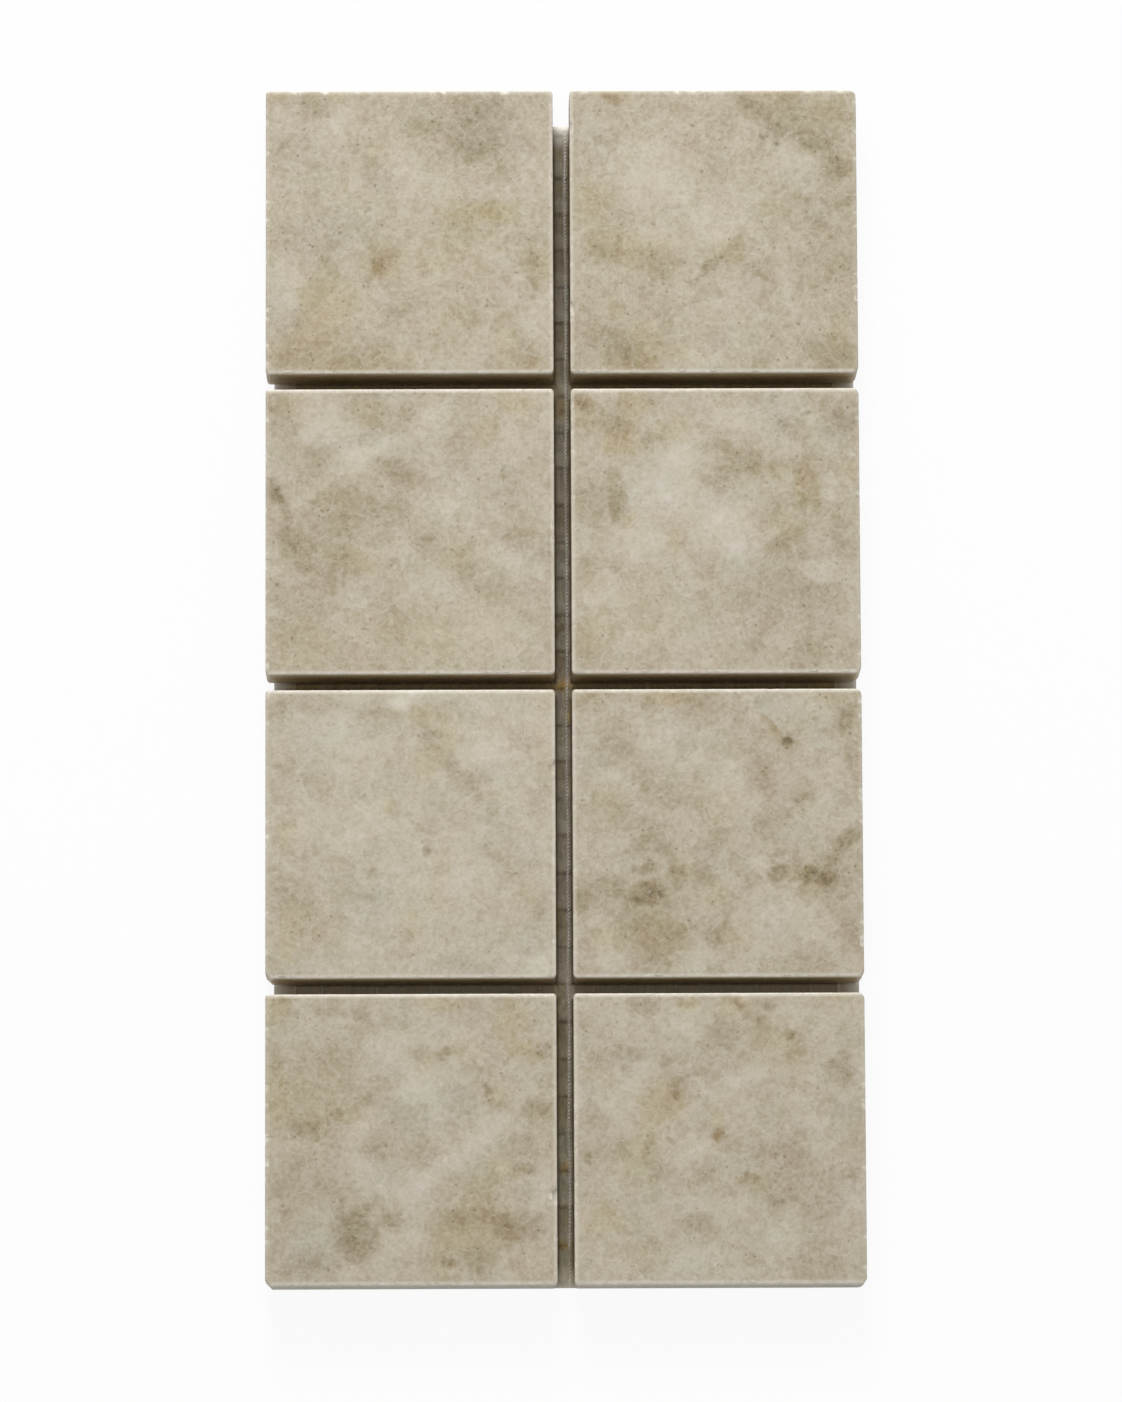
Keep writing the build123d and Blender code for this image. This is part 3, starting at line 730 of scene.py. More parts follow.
# %% [markdown]
# The marks could be Gradient nodes, but sixty to a tile would make a slow and unreadable shader.
# They are painted on the points of the mesh instead, as with a brush: each point adds up the
# marks it lies in and stores the sums as one vector, shade, warmth and rust. A mark has half its
# strength on its outline. Clouds are soft about it, while clasts, which are lumps of another bed,
# have a firm edge. Before it looks, each point is shifted by noise, and that is what bends the
# ellipses out of shape. The noise gets a seed, because without one it would start from the clock
# and bend the marks differently in every run. The height isn't used to find a mark, so it goes
# right down the walls, as beds do.

# %% Paint the marks
MARK_SOFTNESS = {"cloud": 0.85, "pale": 0.85, "tan": 0.6, "cool": 0.7, "rust": 0.9, "clast": 0.4}
MARK_EFFECT = {  # what a mark of strength 1 adds to shade, warmth and rust
    "cloud": (0.88, 0, 0), "clast": (0.8, 0, 0), "pale": (-0.8, 0, 0), "tan": (0.25, 1.2, 0),
    "cool": (0.1, -1, 0), "rust": (0, 0, 1),
}
BENDS = ((5.0, 1.1), (1.5, 0.7))  # mm: size of the noise, and how far it shifts a point
BEND_SEED = 3
noise.seed_set(BEND_SEED)


def mark_sums(points, marks):
    """Adds up the marks, channel by channel, at points in mm from the same centre as the marks."""
    bent = points.copy()
    for size, shift in BENDS:
        bent += [noise.noise_vector(Vector(point) / size) * shift for point in points]
    sums = np.zeros((len(points), 3))
    for kind, group in marks.items():
        for x, y, half_length, half_width, turn, strength in group:
            across, up = bent[:, 0] - x, bent[:, 1] - y
            cosine, sine = math.cos(math.radians(turn)), math.sin(math.radians(turn))
            reach = np.hypot((across * cosine + up * sine) / half_length,
                             (up * cosine - across * sine) / half_width)
            fade = np.clip(0.5 + (1 - reach) / MARK_SOFTNESS[kind] / 2, 0, 1)
            fade *= fade * (3 - 2 * fade)
            sums += fade[:, None] * strength * np.array(MARK_EFFECT[kind])
    return sums


def paint_marks(bm, centre, marks, base_shade):
    """Stores the sums of the marks at every point of a tile."""
    points = np.array([(vert.co - centre) / MM for vert in bm.verts])
    sums = mark_sums(points, marks) + (base_shade, 0, 0)
    layer = bm.verts.layers.float_vector.new("stone_marks")
    for vert, total in zip(bm.verts, sums):
        vert[layer] = total


print("marks are bent by noise of", [size for size, _ in BENDS], "mm")

# %% [markdown]
# ## The quartzite finish
#
# Close up, the stone is broken lumps a few millimetres across that were welded together again,
# each a little greyer, pinker or more olive than the next, with thin pale seams between them and
# a sugary grain all through. Voronoi cells give lumps, crumbs and grains, and noise bends their
# straight sides. Together with the painted marks they add up to one number, the shade, which a
# colour ramp turns into stone: cool and pale at one end, brown at the other, because here the
# darker patches are also the warmer ones. Tints, seams, specks and rubbed edges go on top, and on
# the far arrises the rubbed colour is also a painted highlight. Below the edge the walls get painted
# shade: a warm brown in the joints, for the dim light bounced between the stones, and a cool grey on
# the outside of the sheet, darker towards the bottom.

# %% Quartzite
SHADE_RANGE = (-2, 4)
SHADE_STOPS = [  # along that range
    (0.000, srgb(217, 211, 199)), (0.167, srgb(205, 198, 184)), (0.333, srgb(187, 178, 160)),
    (0.500, srgb(164, 152, 129)), (0.667, srgb(138, 124, 96)), (0.833, srgb(106, 90, 62)),
    (1.000, srgb(74, 57, 36)),
]
PINK_TINT = (1.015, 0.99, 0.985, 1.0)
OLIVE_TINT = (0.985, 1.0, 0.965, 1.0)
TAN_TINT = (0.98, 0.93, 0.78, 1.0)
COOL_TINT = (0.97, 1.0, 1.045, 1.0)
RUST_TINT = (0.66, 0.57, 0.43, 1.0)
# painted shade on the walls below the show face: warm brown in the joints, cool grey outside
JOINT_WALL_SHADE = (0.96, 0.87, 0.70, 1.0)
OUTER_WALL_SHADE = (0.66, 0.67, 0.70, 1.0)
# pale rubbed and broken stone; on the far arrises it is also a painted highlight
ARRIS_COLOUR = srgb(248, 243, 231)
SEAM_COLOUR = srgb(212, 207, 194)
SPECK_COLOUR = srgb(104, 88, 62)
LUMP_SIZE = 5.0  # mm, like all lengths in this finish
CRUMB_SIZE = 1.7
GRAIN_SIZE = 0.5
MOTTLE_SIZE = 0.9
FIBRE_SIZE = 1.1
LUMP_DRIFT = (1.6, 1.6, 1.6)  # how far noise bends the sides of lumps and crumbs
LUMP_DRIFT_SIZE = 1.6
LUMP_SWING = 0.35  # in shade, like the next three
CRUMB_SWING = 0.42
MOTTLE_SWING = 1.55
GRAIN_SWING = 0.42
LUMP_HUE_SWING = 0.8  # between pink and olive
CRUMB_HUE_SWING = 0.3
SEAM_WIDTH = 0.05  # of a lump
SEAM_STRENGTH = 0.3
FLECK_WIDTH = 0.014  # of the swing of the fibre noise
FLECK_STRENGTH = 0.24
SPECK_GRAINS = (0.99, 1.02)  # only the darkest grains
SPECK_STRENGTH = 0.5
SHEET_OUTLINE = CAD_BOX[1] / MM
OUTER_WALL_FADE = (0.4, 0.2)  # in from the outline
WALL_SHADE_HEIGHTS = (7.5, 9.9)  # full painted shade below the first, none above the second
STONE_ROUGHNESS = (0.46, 0.66)
STONE_BUMP = 0.02 * MM


def attribute(tree, name):
    node = tree.nodes.new("ShaderNodeAttribute")
    node.attribute_name = name
    return node


def split(tree, vector):
    node = tree.nodes.new("ShaderNodeSeparateXYZ")
    plug(tree, node.inputs[0], vector)
    return node.outputs


def swing(tree, total, value, amount):
    """Adds a value that runs from 0 to 1 to a total, as a swing to both sides of nothing."""
    return calc(tree, "MULTIPLY_ADD", calc(tree, "SUBTRACT", value, 0.5), amount, total)


def bend(tree, place, size, detail, shift):
    """Moves a place by cloudy noise, so that what is drawn there loses its straight sides."""
    drift = vector_calc(tree, "SUBTRACT", fractal(tree, place, size, detail, 0.6)[1], (0.5, 0.5, 0.5))
    return vector_calc(tree, "MULTIPLY_ADD", drift, shift, place)


def beyond(tree, value, outline):
    """1 where a value, to either side of 0, lies at the outline of the sheet."""
    from_low, from_high = (outline - fade for fade in OUTER_WALL_FADE)
    return fit(tree, calc(tree, "ABSOLUTE", value), from_low, from_high, 0.0, 1.0)


def quartzite():
    """The honed stone; the painted marks make it different on every tile."""
    material, tree = new_material("quartzite")
    place = millimetres(tree, Vector((0, 0, 0)))
    painted, warmth, rust = split(tree, attribute(tree, "stone_marks").outputs["Vector"])

    bent = bend(tree, place, LUMP_DRIFT_SIZE, 2.0, LUMP_DRIFT)
    lump_tone, lump_hue, _ = split(tree, cells(tree, bent, LUMP_SIZE)[1])
    crumb_tone, crumb_hue, _ = split(tree, cells(tree, bent, CRUMB_SIZE)[1])
    grain_distance, grain_colour = cells(tree, place, GRAIN_SIZE)
    grain_tone, grain_fleck, _ = split(tree, grain_colour)
    mottle, _ = fractal(tree, place, MOTTLE_SIZE, 3.0, 0.65)

    ragged = swing(tree, 1.0, mottle, 1.0)
    shade = calc(tree, "MULTIPLY", painted, ragged)
    shade = swing(tree, shade, lump_tone, LUMP_SWING)
    shade = swing(tree, shade, crumb_tone, CRUMB_SWING)
    shade = swing(tree, shade, mottle, MOTTLE_SWING)
    shade = swing(tree, shade, grain_tone, GRAIN_SWING)
    colour = ramp(tree, fit(tree, shade, *SHADE_RANGE, 0, 1, "LINEAR"), SHADE_STOPS)

    hue = swing(tree, swing(tree, 0.5, lump_hue, LUMP_HUE_SWING), crumb_hue, CRUMB_HUE_SWING)
    colour = mix(tree, "MULTIPLY", 1.0, colour, mix(tree, "MIX", hue, PINK_TINT, OLIVE_TINT))
    colour = mix(tree, "MULTIPLY", calc(tree, "MULTIPLY", warmth, ragged), colour, TAN_TINT)
    colour = mix(tree, "MULTIPLY", calc(tree, "MULTIPLY", warmth, -1.0), colour, COOL_TINT)
    colour = mix(tree, "MULTIPLY", calc(tree, "MULTIPLY", rust, ragged), colour, RUST_TINT)

    seam_distance, _ = cells(tree, bent, LUMP_SIZE, "DISTANCE_TO_EDGE")
    seam = calc(tree, "MULTIPLY", fit(tree, seam_distance, 0.0, SEAM_WIDTH, SEAM_STRENGTH, 0.0),
                fit(tree, mottle, 0.46, 0.58, 0.0, 1.0))
    fibre = calc(tree, "ABSOLUTE",
                 calc(tree, "SUBTRACT", fractal(tree, bent, FIBRE_SIZE, 1.0, 0.5)[0], 0.5))
    fleck = calc(tree, "MULTIPLY", fit(tree, fibre, 0.0, FLECK_WIDTH, FLECK_STRENGTH, 0.0), grain_fleck)
    colour = mix(tree, "MIX", calc(tree, "MAXIMUM", seam, fleck), colour, SEAM_COLOUR)
    darker = calc(tree, "MULTIPLY_ADD", painted, 0.03, grain_tone)
    speck = calc(tree, "MULTIPLY", fit(tree, darker, *SPECK_GRAINS, 0.0, SPECK_STRENGTH),
                 fit(tree, grain_distance, 0.3, 0.6, 1.0, 0.0))
    colour = mix(tree, "MIX", speck, colour, SPECK_COLOUR)

    # painted shade: the walls darken below the show face, warm in the joints and grey outside
    across, along, height = split(tree, place)
    outside = calc(tree, "MAXIMUM", beyond(tree, across, SHEET_OUTLINE.x),
                   beyond(tree, along, SHEET_OUTLINE.y))
    wall_shade = mix(tree, "MIX", outside, JOINT_WALL_SHADE, OUTER_WALL_SHADE)
    colour = mix(tree, "MULTIPLY", fit(tree, height, *WALL_SHADE_HEIGHTS, 1.0, 0.0), colour, wall_shade)
    # rubbed and broken edges, and the painted highlight on the far arrises
    wear_and_highlight = calc(tree, "MULTIPLY", attribute(tree, "edge_wear_and_highlight").outputs["Fac"],
                fit(tree, mottle, 0.3, 0.7, 0.5, 1.0))
    colour = mix(tree, "MIX", wear_and_highlight, colour, ARRIS_COLOUR)

    roughness = fit(tree, swing(tree, mottle, grain_tone, 0.3), 0.2, 0.8, *STONE_ROUGHNESS)
    finish_surface(tree, colour, roughness, grain_distance, STONE_BUMP)
    return material


stone = quartzite()
print("quartzite runs through", len(SHADE_STOPS), "shades")

# %% [markdown]
# ## Laying the eight tiles
#
# Each tile is sawn, worn and painted in one loop. How its edges differ could be left to chance,
# but these differences catch the eye, so they are set one by one: the corners on the sheet's right
# side are rounder than the others, two left near corners have broken off, the sides at the middle
# joint were rubbed harder than the outer ones, and the far arrises get a painted highlight on top of
# their wear, weaker on the far edge of row 1 than on the other far edges. The largest chips have
# their places too.

# %% Tiles
CORNER_RUBBED = (1.1 * MM, 4)
CORNER_BROKEN = (0.95 * MM, 1)
BROKEN_TILES = ("tile_row3_left", "tile_row4_left")  # at their left near corners
SIDE_RUB_AND_HIGHLIGHT = {"left": 0.2, "right": 0.2, "near": 0.9, "far": 1.0}  # how pale each side's arris is: rubbing, and on the far side a painted highlight as well
JOINT_RUBBED = 0.55  # left and right sides that face the joint in the middle
END_RUB_AND_HIGHLIGHT = 0.3  # the far edge of row 1, which gets less painted highlight
SHARP_ANGLE = math.radians(38)
BASE_SHADES = {
    "tile_row1_left": 0.5, "tile_row1_right": 0.56, "tile_row2_left": 0.42, "tile_row2_right": 0.42,
    "tile_row3_left": 0.18, "tile_row3_right": 0.48, "tile_row4_left": 0.36, "tile_row4_right": 0.34,
}
KNOWN_CHIPS = {  # side, place along it from its middle and radius, in mm
    "tile_row1_right": [("left", -13.0, 1.0), ("left", 17.7, 0.7)],
    "tile_row3_left": [("right", 11.0, 0.9)],
    "tile_row4_left": [("right", -9.5, 1.1)],
}


def place_piece(bm, name, material, nodes=()):
    """Makes a finished bmesh an object that rides on the sheet."""
    mesh = made_mesh(bm, name)
    mesh.shade_smooth()
    mesh.set_sharp_from_angle(angle=SHARP_ANGLE)
    mesh.materials.append(material)
    piece = bpy.data.objects.new(name, mesh)
    scene.collection.objects.link(piece)
    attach(piece, "root")
    if nodes:
        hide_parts(*nodes)
    mesh.calc_loop_triangles()
    print(name, "has", len(mesh.loop_triangles), "triangles")


for number, tile in enumerate(MARKS):
    low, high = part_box(tile)
    right_corner = CORNER_RUBBED if tile.endswith("right") else CORNER_SHARP
    left_near = CORNER_BROKEN if tile in BROKEN_TILES else CORNER_SHARP
    bm = saw_block(low, high, (left_near, CORNER_SHARP, right_corner, right_corner))
    inner_side = "right" if tile.endswith("left") else "left"
    side_rub_and_highlight = {**SIDE_RUB_AND_HIGHLIGHT, inner_side: JOINT_RUBBED}
    # row 1's far arris gets less painted highlight
    if "row1" in tile:
        side_rub_and_highlight["far"] = END_RUB_AND_HIGHLIGHT
    wear_edges(bm, low, high, random.Random(number), side_rub_and_highlight, KNOWN_CHIPS.get(tile, []))
    paint_marks(bm, (low + high) / 2, MARKS[tile], BASE_SHADES[tile])
    place_piece(bm, tile.replace("tile", "stone"), stone, [tile])

# %% [markdown]
# ## Weaving the backing mesh
#
# The mesh is a leno weave: each warp is two yarns that twist round each other and hold the flat
# weft between them, so the openings can't slide. A coat of resin then fixes the crossings. One
# twisted pair is made with spin, which turns a small ring about the pair's middle line and moves
# it along at the same time. It starts where the two halves of the mesh meet, halfway between two
# wefts, with one yarn right above the other, and it makes five full turns from there to the same
# place past the next weft. Seen from above, each half turn is one small bright bead.

# %% A twisted warp
WARP_PITCH = 4.5 * MM
WEFT_PITCH = 6.2 * MM
YARN_RADIUS = 0.125 * MM
YARN_SIDES = 4
PAIR_RADIUS = 0.12 * MM  # from the pair's middle line to the middle of a yarn
TURNS_PER_WEFT = 5
STEPS_PER_TURN = 6
FAR_LOW, FAR_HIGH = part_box("backing_mesh_far")
NEAR_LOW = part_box("backing_mesh_near")[0]
MESH_MIDDLE_X = (FAR_LOW.x + FAR_HIGH.x) / 2
MESH_SPLIT = FAR_LOW.y
MESH_LEVEL = (FAR_LOW.z + FAR_HIGH.z) / 2
HALF_LENGTH = FAR_HIGH.y - FAR_LOW.y


def twist_pair():
    """One warp of two twisted yarns, from the middle of the mesh to its far end, at x = 0."""
    bm = bmesh.new()
    step = WEFT_PITCH / TURNS_PER_WEFT / STEPS_PER_TURN
    steps = int(HALF_LENGTH / step)
    for level in (PAIR_RADIUS, -PAIR_RADIUS):
        ring = bmesh.ops.create_circle(bm, segments=YARN_SIDES, radius=YARN_RADIUS)["verts"]
        facing = Matrix.Rotation(math.radians(90), 3, "X")
        bmesh.ops.rotate(bm, verts=ring, cent=(0, 0, 0), matrix=facing)
        bmesh.ops.translate(bm, verts=ring, vec=(0, 0, level))
        outline = list(dict.fromkeys(edge for vert in ring for edge in vert.link_edges))
        bmesh.ops.spin(bm, geom=ring + outline, cent=(0, 0, 0), axis=(0, 1, 0), dvec=(0, step, 0),
                       angle=math.tau * steps / STEPS_PER_TURN, steps=steps, use_merge=False)
    bmesh.ops.holes_fill(bm, edges=bm.edges, sides=YARN_SIDES)
    bmesh.ops.recalc_face_normals(bm, faces=bm.faces)
    return bm


warp_mesh = made_mesh(twist_pair(), "warp_pattern")
print("one warp:", len(warp_mesh.polygons), "faces,", round(HALF_LENGTH / MM, 1), "mm long")

# %% [markdown]
# A weft is a flat bundle that was never twisted. It is a cylinder laid along the sheet, pressed
# flat, and cut along its length so that it can wander. Both halves of the mesh are the same
# weave, one turned half way round, and noise that depends only on the place moves the yarns, so
# they still meet in the middle. Two yarns were pulled out of line when the sheet was made: the
# warp in the middle joint, to the right, and the last weft at the far end, outwards.

# %% Weave the mesh
WEFT_WIDTH = 0.8 * MM
WEFT_THICKNESS = 0.14 * MM
WEFT_SIDES = 8
WEFT_CUTS = 80
WARPS_EACH_SIDE = int((FAR_HIGH.x - FAR_LOW.x) / 2 // WARP_PITCH)
WEFTS_EACH_HALF = int(HALF_LENGTH / WEFT_PITCH + 0.5)
YARN_WANDER = 0.16 * MM
YARN_WANDER_SIZE = 9 * MM
WARP_NOISE_STEP = 3.7  # sets neighbouring yarns apart in the noise, so that each wanders by itself
WEFT_NOISE_STEP = 2.3
END_WEFT_PULLED = 1.0 * MM
MIDDLE_WARP_PULLED = 0.24 * MM


def flat_weft(width):
    """One weft along x, centred on the origin."""
    bm = bmesh.new()
    lying = Matrix.Rotation(math.radians(90), 4, "Y")
    bmesh.ops.create_cone(bm, cap_ends=True, segments=WEFT_SIDES, radius1=0.5, radius2=0.5, depth=width,
                          matrix=lying)
    bmesh.ops.scale(bm, vec=(1, WEFT_WIDTH, WEFT_THICKNESS), verts=bm.verts)
    long_edges = [edge for edge in bm.edges if edge.calc_length() > width / 2]
    bmesh.ops.subdivide_edges(bm, edges=long_edges, cuts=WEFT_CUTS, use_grid_fill=True)
    return bm


def add_copy(bm, mesh, turn, place):
    """Adds a turned and moved copy of a mesh."""
    before = len(bm.verts)
    bm.from_mesh(mesh)
    bm.verts.ensure_lookup_table()
    copy = bm.verts[before:]
    bmesh.ops.transform(bm, matrix=Matrix.Translation(place) @ Matrix.Rotation(turn, 4, "Z"), verts=copy)
    return copy


def warp_x(number, y):
    """Where a warp runs, counted from the middle one, which was pulled a little to the right."""
    wander = noise.noise(Vector((number * WARP_NOISE_STEP, y / YARN_WANDER_SIZE, 0.5)))
    pulled = 0 if number else MIDDLE_WARP_PULLED
    return MESH_MIDDLE_X + number * WARP_PITCH + pulled + wander * YARN_WANDER


def weft_y(number, x):
    """Where a weft runs, counted from the first one of the far half."""
    wander = noise.noise(Vector((x / YARN_WANDER_SIZE, number * WEFT_NOISE_STEP, 0.5)))
    pulled = END_WEFT_PULLED if number == WEFTS_EACH_HALF - 1 else 0
    return MESH_SPLIT + (number + 0.5) * WEFT_PITCH + pulled + wander * YARN_WANDER


def weave(turn):
    """Half of the mesh: warps out from the middle, wefts between their yarns."""
    bm = bmesh.new()
    for number in range(-WARPS_EACH_SIDE, WARPS_EACH_SIDE + 1):
        for vert in add_copy(bm, warp_mesh, turn, (0, MESH_SPLIT, MESH_LEVEL)):
            vert.co.x += warp_x(number, vert.co.y)
    first = 0 if turn == 0 else -WEFTS_EACH_HALF
    for number in range(first, first + WEFTS_EACH_HALF):
        for vert in add_copy(bm, weft_mesh, 0, (MESH_MIDDLE_X, 0, MESH_LEVEL)):
            vert.co.y += weft_y(number, vert.co.x)
    return bm


weft_mesh = made_mesh(flat_weft(FAR_HIGH.x - FAR_LOW.x), "weft_pattern")
print("weave:", 2 * WARPS_EACH_SIDE + 1, "warps and", 2 * WEFTS_EACH_HALF, "wefts")

# %% [markdown]
# ## Finishes of yarn and glue
#
# The yarn is glass under a clear coat of resin, so it is white and glints on its round tops. Glue
# has crept along it and left it browner in places. The glue itself dried as a skin in the openings
# of the mesh. Each opening dried by itself, so each has its own tone, grey, pinkish or olive: the
# place is divided by the pitch of the yarns, and white noise picks a tone for each whole number.
# Streaks and strands break the tone up, and the skin is smooth enough to shine a little. It is
# palest where it is thin, over the yarns and at the open ends, and at the open ends it also gets
# painted light for the light that gets in there. It is darkest in the corner against the stone,
# which is painted shade. Those come painted. Towards the near end, away from the lamp, it is made
# paler: a painted gradient of light.

# %% Yarn and glue
YARN_PALE = srgb(248, 246, 241)
YARN_STAINED = srgb(180, 168, 146)
YARN_STAIN_SIZE = 7.0  # mm, like all lengths in these finishes
YARN_FIBRE_SIZE = 0.06
FIBRE_STRETCH = (1.0, 0.15, 1.0)  # fibres and strands run along the warps
YARN_ROUGHNESS = (0.24, 0.45)
YARN_BUMP = 0.012 * MM
RESIN_ROUGHNESS = 0.08
GLUE_TONES = [
    (0.00, srgb(141, 136, 114)), (0.30, srgb(141, 129, 112)), (0.55, srgb(132, 122, 95)),
    (0.80, srgb(123, 109, 82)), (1.00, srgb(135, 130, 110)),
]
# paler glue: thin over the yarns, and at the open ends also painted light
GLUE_THIN_AND_LIT = srgb(236, 231, 222)
# painted shade: in the corners against the stone and along the near side of wefts
GLUE_PAINTED_SHADE = srgb(62, 50, 30)
GLUE_STAINED = srgb(148, 114, 36)
# for olive stains, and for the painted warm shade in the row joints
GLUE_OLIVE = srgb(142, 122, 74)
GLUE_DRIFT = (1.6, 1.6, 0.0)  # how far noise bends the outlines of the openings
GLUE_DRIFT_SIZE = 2.5
STREAK_SIZE = 1.2
STREAK_SWING = 0.9  # along the tones
STRAND_SIZE = 0.3
STRAND_STRETCH = (1.0, 0.12, 1.0)
ONE_LAYER = 1000.0  # far more than the mesh is thick, so height picks no tone
# painted light: the film is made paler towards the near end, away from the lamp
GLUE_GRADE = (-76.0, 76.0)  # from the middle of row 4 to the middle of row 1
GLUE_GRADE_TONES = (1.37, 1.0)
GLUE_ROUGHNESS = (0.38, 0.58)
GLUE_BUMP = 0.06 * MM


def shaded(tree, colour, value, low, high):
    """Multiplies a colour by low to high, as noise about its middle says."""
    return mix(tree, "MULTIPLY", 1.0, colour, fit(tree, value, 0.3, 0.7, low, high))


def yarn_finish():
    material, tree = new_material("glass_yarn")
    place = millimetres(tree, Vector((0, 0, 0)))
    stain, _ = fractal(tree, place, YARN_STAIN_SIZE, 4.0, 0.6)
    stretched = vector_calc(tree, "MULTIPLY", place, FIBRE_STRETCH)
    fibre, _ = fractal(tree, stretched, YARN_FIBRE_SIZE, 2.0, 0.5)
    colour = mix(tree, "MIX", fit(tree, stain, 0.5, 0.7, 0.0, 0.6), YARN_PALE, YARN_STAINED)
    colour = shaded(tree, colour, fibre, 0.9, 1.0)
    roughness = fit(tree, stain, 0.35, 0.65, *YARN_ROUGHNESS)
    surface = finish_surface(tree, colour, roughness, fibre, YARN_BUMP)
    surface.inputs["Coat Weight"].default_value = 1.0
    surface.inputs["Coat Roughness"].default_value = RESIN_ROUGHNESS
    return material


def glue_finish():
    material, tree = new_material("dried_glue")
    place = millimetres(tree, Vector((0, 0, 0)))
    thin_and_lit, olive, rust = split(tree, attribute(tree, "film_marks").outputs["Vector"])
    bent = bend(tree, place, GLUE_DRIFT_SIZE, 3.0, GLUE_DRIFT)
    from_crossing = (-MESH_MIDDLE_X / MM, -MESH_SPLIT / MM + WEFT_PITCH / MM / 2, 0)
    opening = vector_calc(tree, "DIVIDE", vector_calc(tree, "ADD", bent, from_crossing),
                          (WARP_PITCH / MM, WEFT_PITCH / MM, ONE_LAYER))
    pick = tree.nodes.new("ShaderNodeTexWhiteNoise")
    plug(tree, pick.inputs["Vector"], vector_calc(tree, "FLOOR", opening))
    streaks, _ = fractal(tree, bent, STREAK_SIZE, 5.0, 0.6)
    strands, _ = fractal(tree, vector_calc(tree, "MULTIPLY", bent, STRAND_STRETCH), STRAND_SIZE, 2.0, 0.5)
    along = split(tree, place)[1]
    colour = ramp(tree, swing(tree, pick.outputs["Value"], streaks, STREAK_SWING), GLUE_TONES)
    colour = mix(tree, "MIX", olive, colour, GLUE_OLIVE)
    colour = mix(tree, "MIX", rust, colour, GLUE_STAINED)
    colour = shaded(tree, colour, streaks, 0.75, 1.1)
    colour = shaded(tree, colour, strands, 0.84, 1.16)
    # painted light: paler towards the near end
    grade = fit(tree, along, *GLUE_GRADE, *GLUE_GRADE_TONES, "LINEAR")
    colour = mix(tree, "MULTIPLY", 1.0, colour, grade)
    # paler where the glue is thin, with painted light at the open ends
    colour = mix(tree, "MIX", thin_and_lit, colour, GLUE_THIN_AND_LIT)
    # painted shade in the corners and painted shadow along the wefts
    colour = mix(tree, "MIX", attribute(tree, "film_painted_shade").outputs["Fac"], colour, GLUE_PAINTED_SHADE)
    roughness = fit(tree, streaks, 0.3, 0.7, *GLUE_ROUGHNESS)
    finish_surface(tree, colour, roughness, streaks, GLUE_BUMP)
    return material


yarn = yarn_finish()
place_piece(weave(0.0), "woven_mesh_far", yarn, ["backing_mesh_far"])
place_piece(weave(math.pi), "woven_mesh_near", yarn, ["backing_mesh_near"])

# %% [markdown]
# ## The film of glue
#
# In the joints the glue shows as a skin that hangs between the yarns, rises over them and climbs
# a little up the stone. A skin could be a shrink-wrapped plane, but the yarns are where the weave
# put them, so a grid can be lifted directly. The parts of the grid under the tiles are deleted,
# and the strips that are left are extruded down to a thin closed film.

# %% Lay the grid of the film
FILM_CELL_X = 0.2 * MM
FILM_CELL_Y = 0.28 * MM
FILM_REACH = 0.35 * MM  # how far it goes in under the tiles
FILM_TAIL = 0.8 * MM  # how far it runs out past the mesh at the far end
COLUMN_JOINT = (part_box("tile_row1_left")[1].x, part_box("tile_row1_right")[0].x)
ROW_JOINTS = [(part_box(f"tile_row{row + 1}_left")[1].y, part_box(f"tile_row{row}_left")[0].y)
              for row in (1, 2, 3)]


def inside(value, joint):
    """How far a place lies inside a joint, from its nearer wall; under the stone it is negative."""
    return min(value - joint[0], joint[1] - value)


def from_stone(point):
    """How far a point lies from the nearest wall of the joints that it is in."""
    return max(inside(point.x, COLUMN_JOINT), max(inside(point.y, joint) for joint in ROW_JOINTS))


film_far = FAR_HIGH.y + FILM_TAIL
film_width = FAR_HIGH.x - FAR_LOW.x
film_length = film_far - NEAR_LOW.y
bm = bmesh.new()
bmesh.ops.create_grid(bm, x_segments=round(film_width / FILM_CELL_X),
                      y_segments=round(film_length / FILM_CELL_Y), size=0.5)
bmesh.ops.scale(bm, vec=(film_width, film_length, 1), verts=bm.verts)
bmesh.ops.translate(bm, vec=(MESH_MIDDLE_X, (film_far + NEAR_LOW.y) / 2, 0), verts=bm.verts)
hidden = [face for face in bm.faces if from_stone(face.calc_center_median()) < -FILM_REACH]
bmesh.ops.delete(bm, geom=hidden, context="FACES")
print("the film has", len(bm.faces), "squares in the joints")

# %% [markdown]
# Lifting follows three distances: to the nearest warp, to the nearest weft and to the stone. Over
# a weft the film is a low step, gentle on its far side and steep on its near side, where a painted
# shadow lies along it in patches, stronger at some wefts than at others. Over a warp it is a
# narrow ridge, which leaves the tops of the twisted yarn bare in the middle joint and nearly buries
# them in the row joints. Against the stone it climbs, and at its open ends it lies flat. The same
# distances paint the thin places, the painted light at the open ends and the painted shade against
# the stone, and a few stains are placed as they were on the stone.

# %% Lift and paint the film
FILM_LEVEL = 0.15 * MM
FILM_THICKNESS = 0.1 * MM
FILM_RIPPLE = 0.03 * MM
RIPPLE_SIZE = 1.5 * MM
WEFT_RISE = 0.2 * MM
WEFT_HALF = 0.4 * MM
WEFT_SLOPES = (2.4 * MM, 0.25 * MM)  # far side and near side
WARP_RISE = 0.26 * MM
WARP_SLOPE = 0.3 * MM
ROW_JOINT_RISE = (0.34 * MM, 0.34 * MM, 0.28 * MM)  # over a warp, far joint to near joint
# olive on the film of each row joint, far to near: painted warm shade between the stone walls
ROW_JOINT_OLIVE_SHADE = (1.0, 0.85, 0.9)
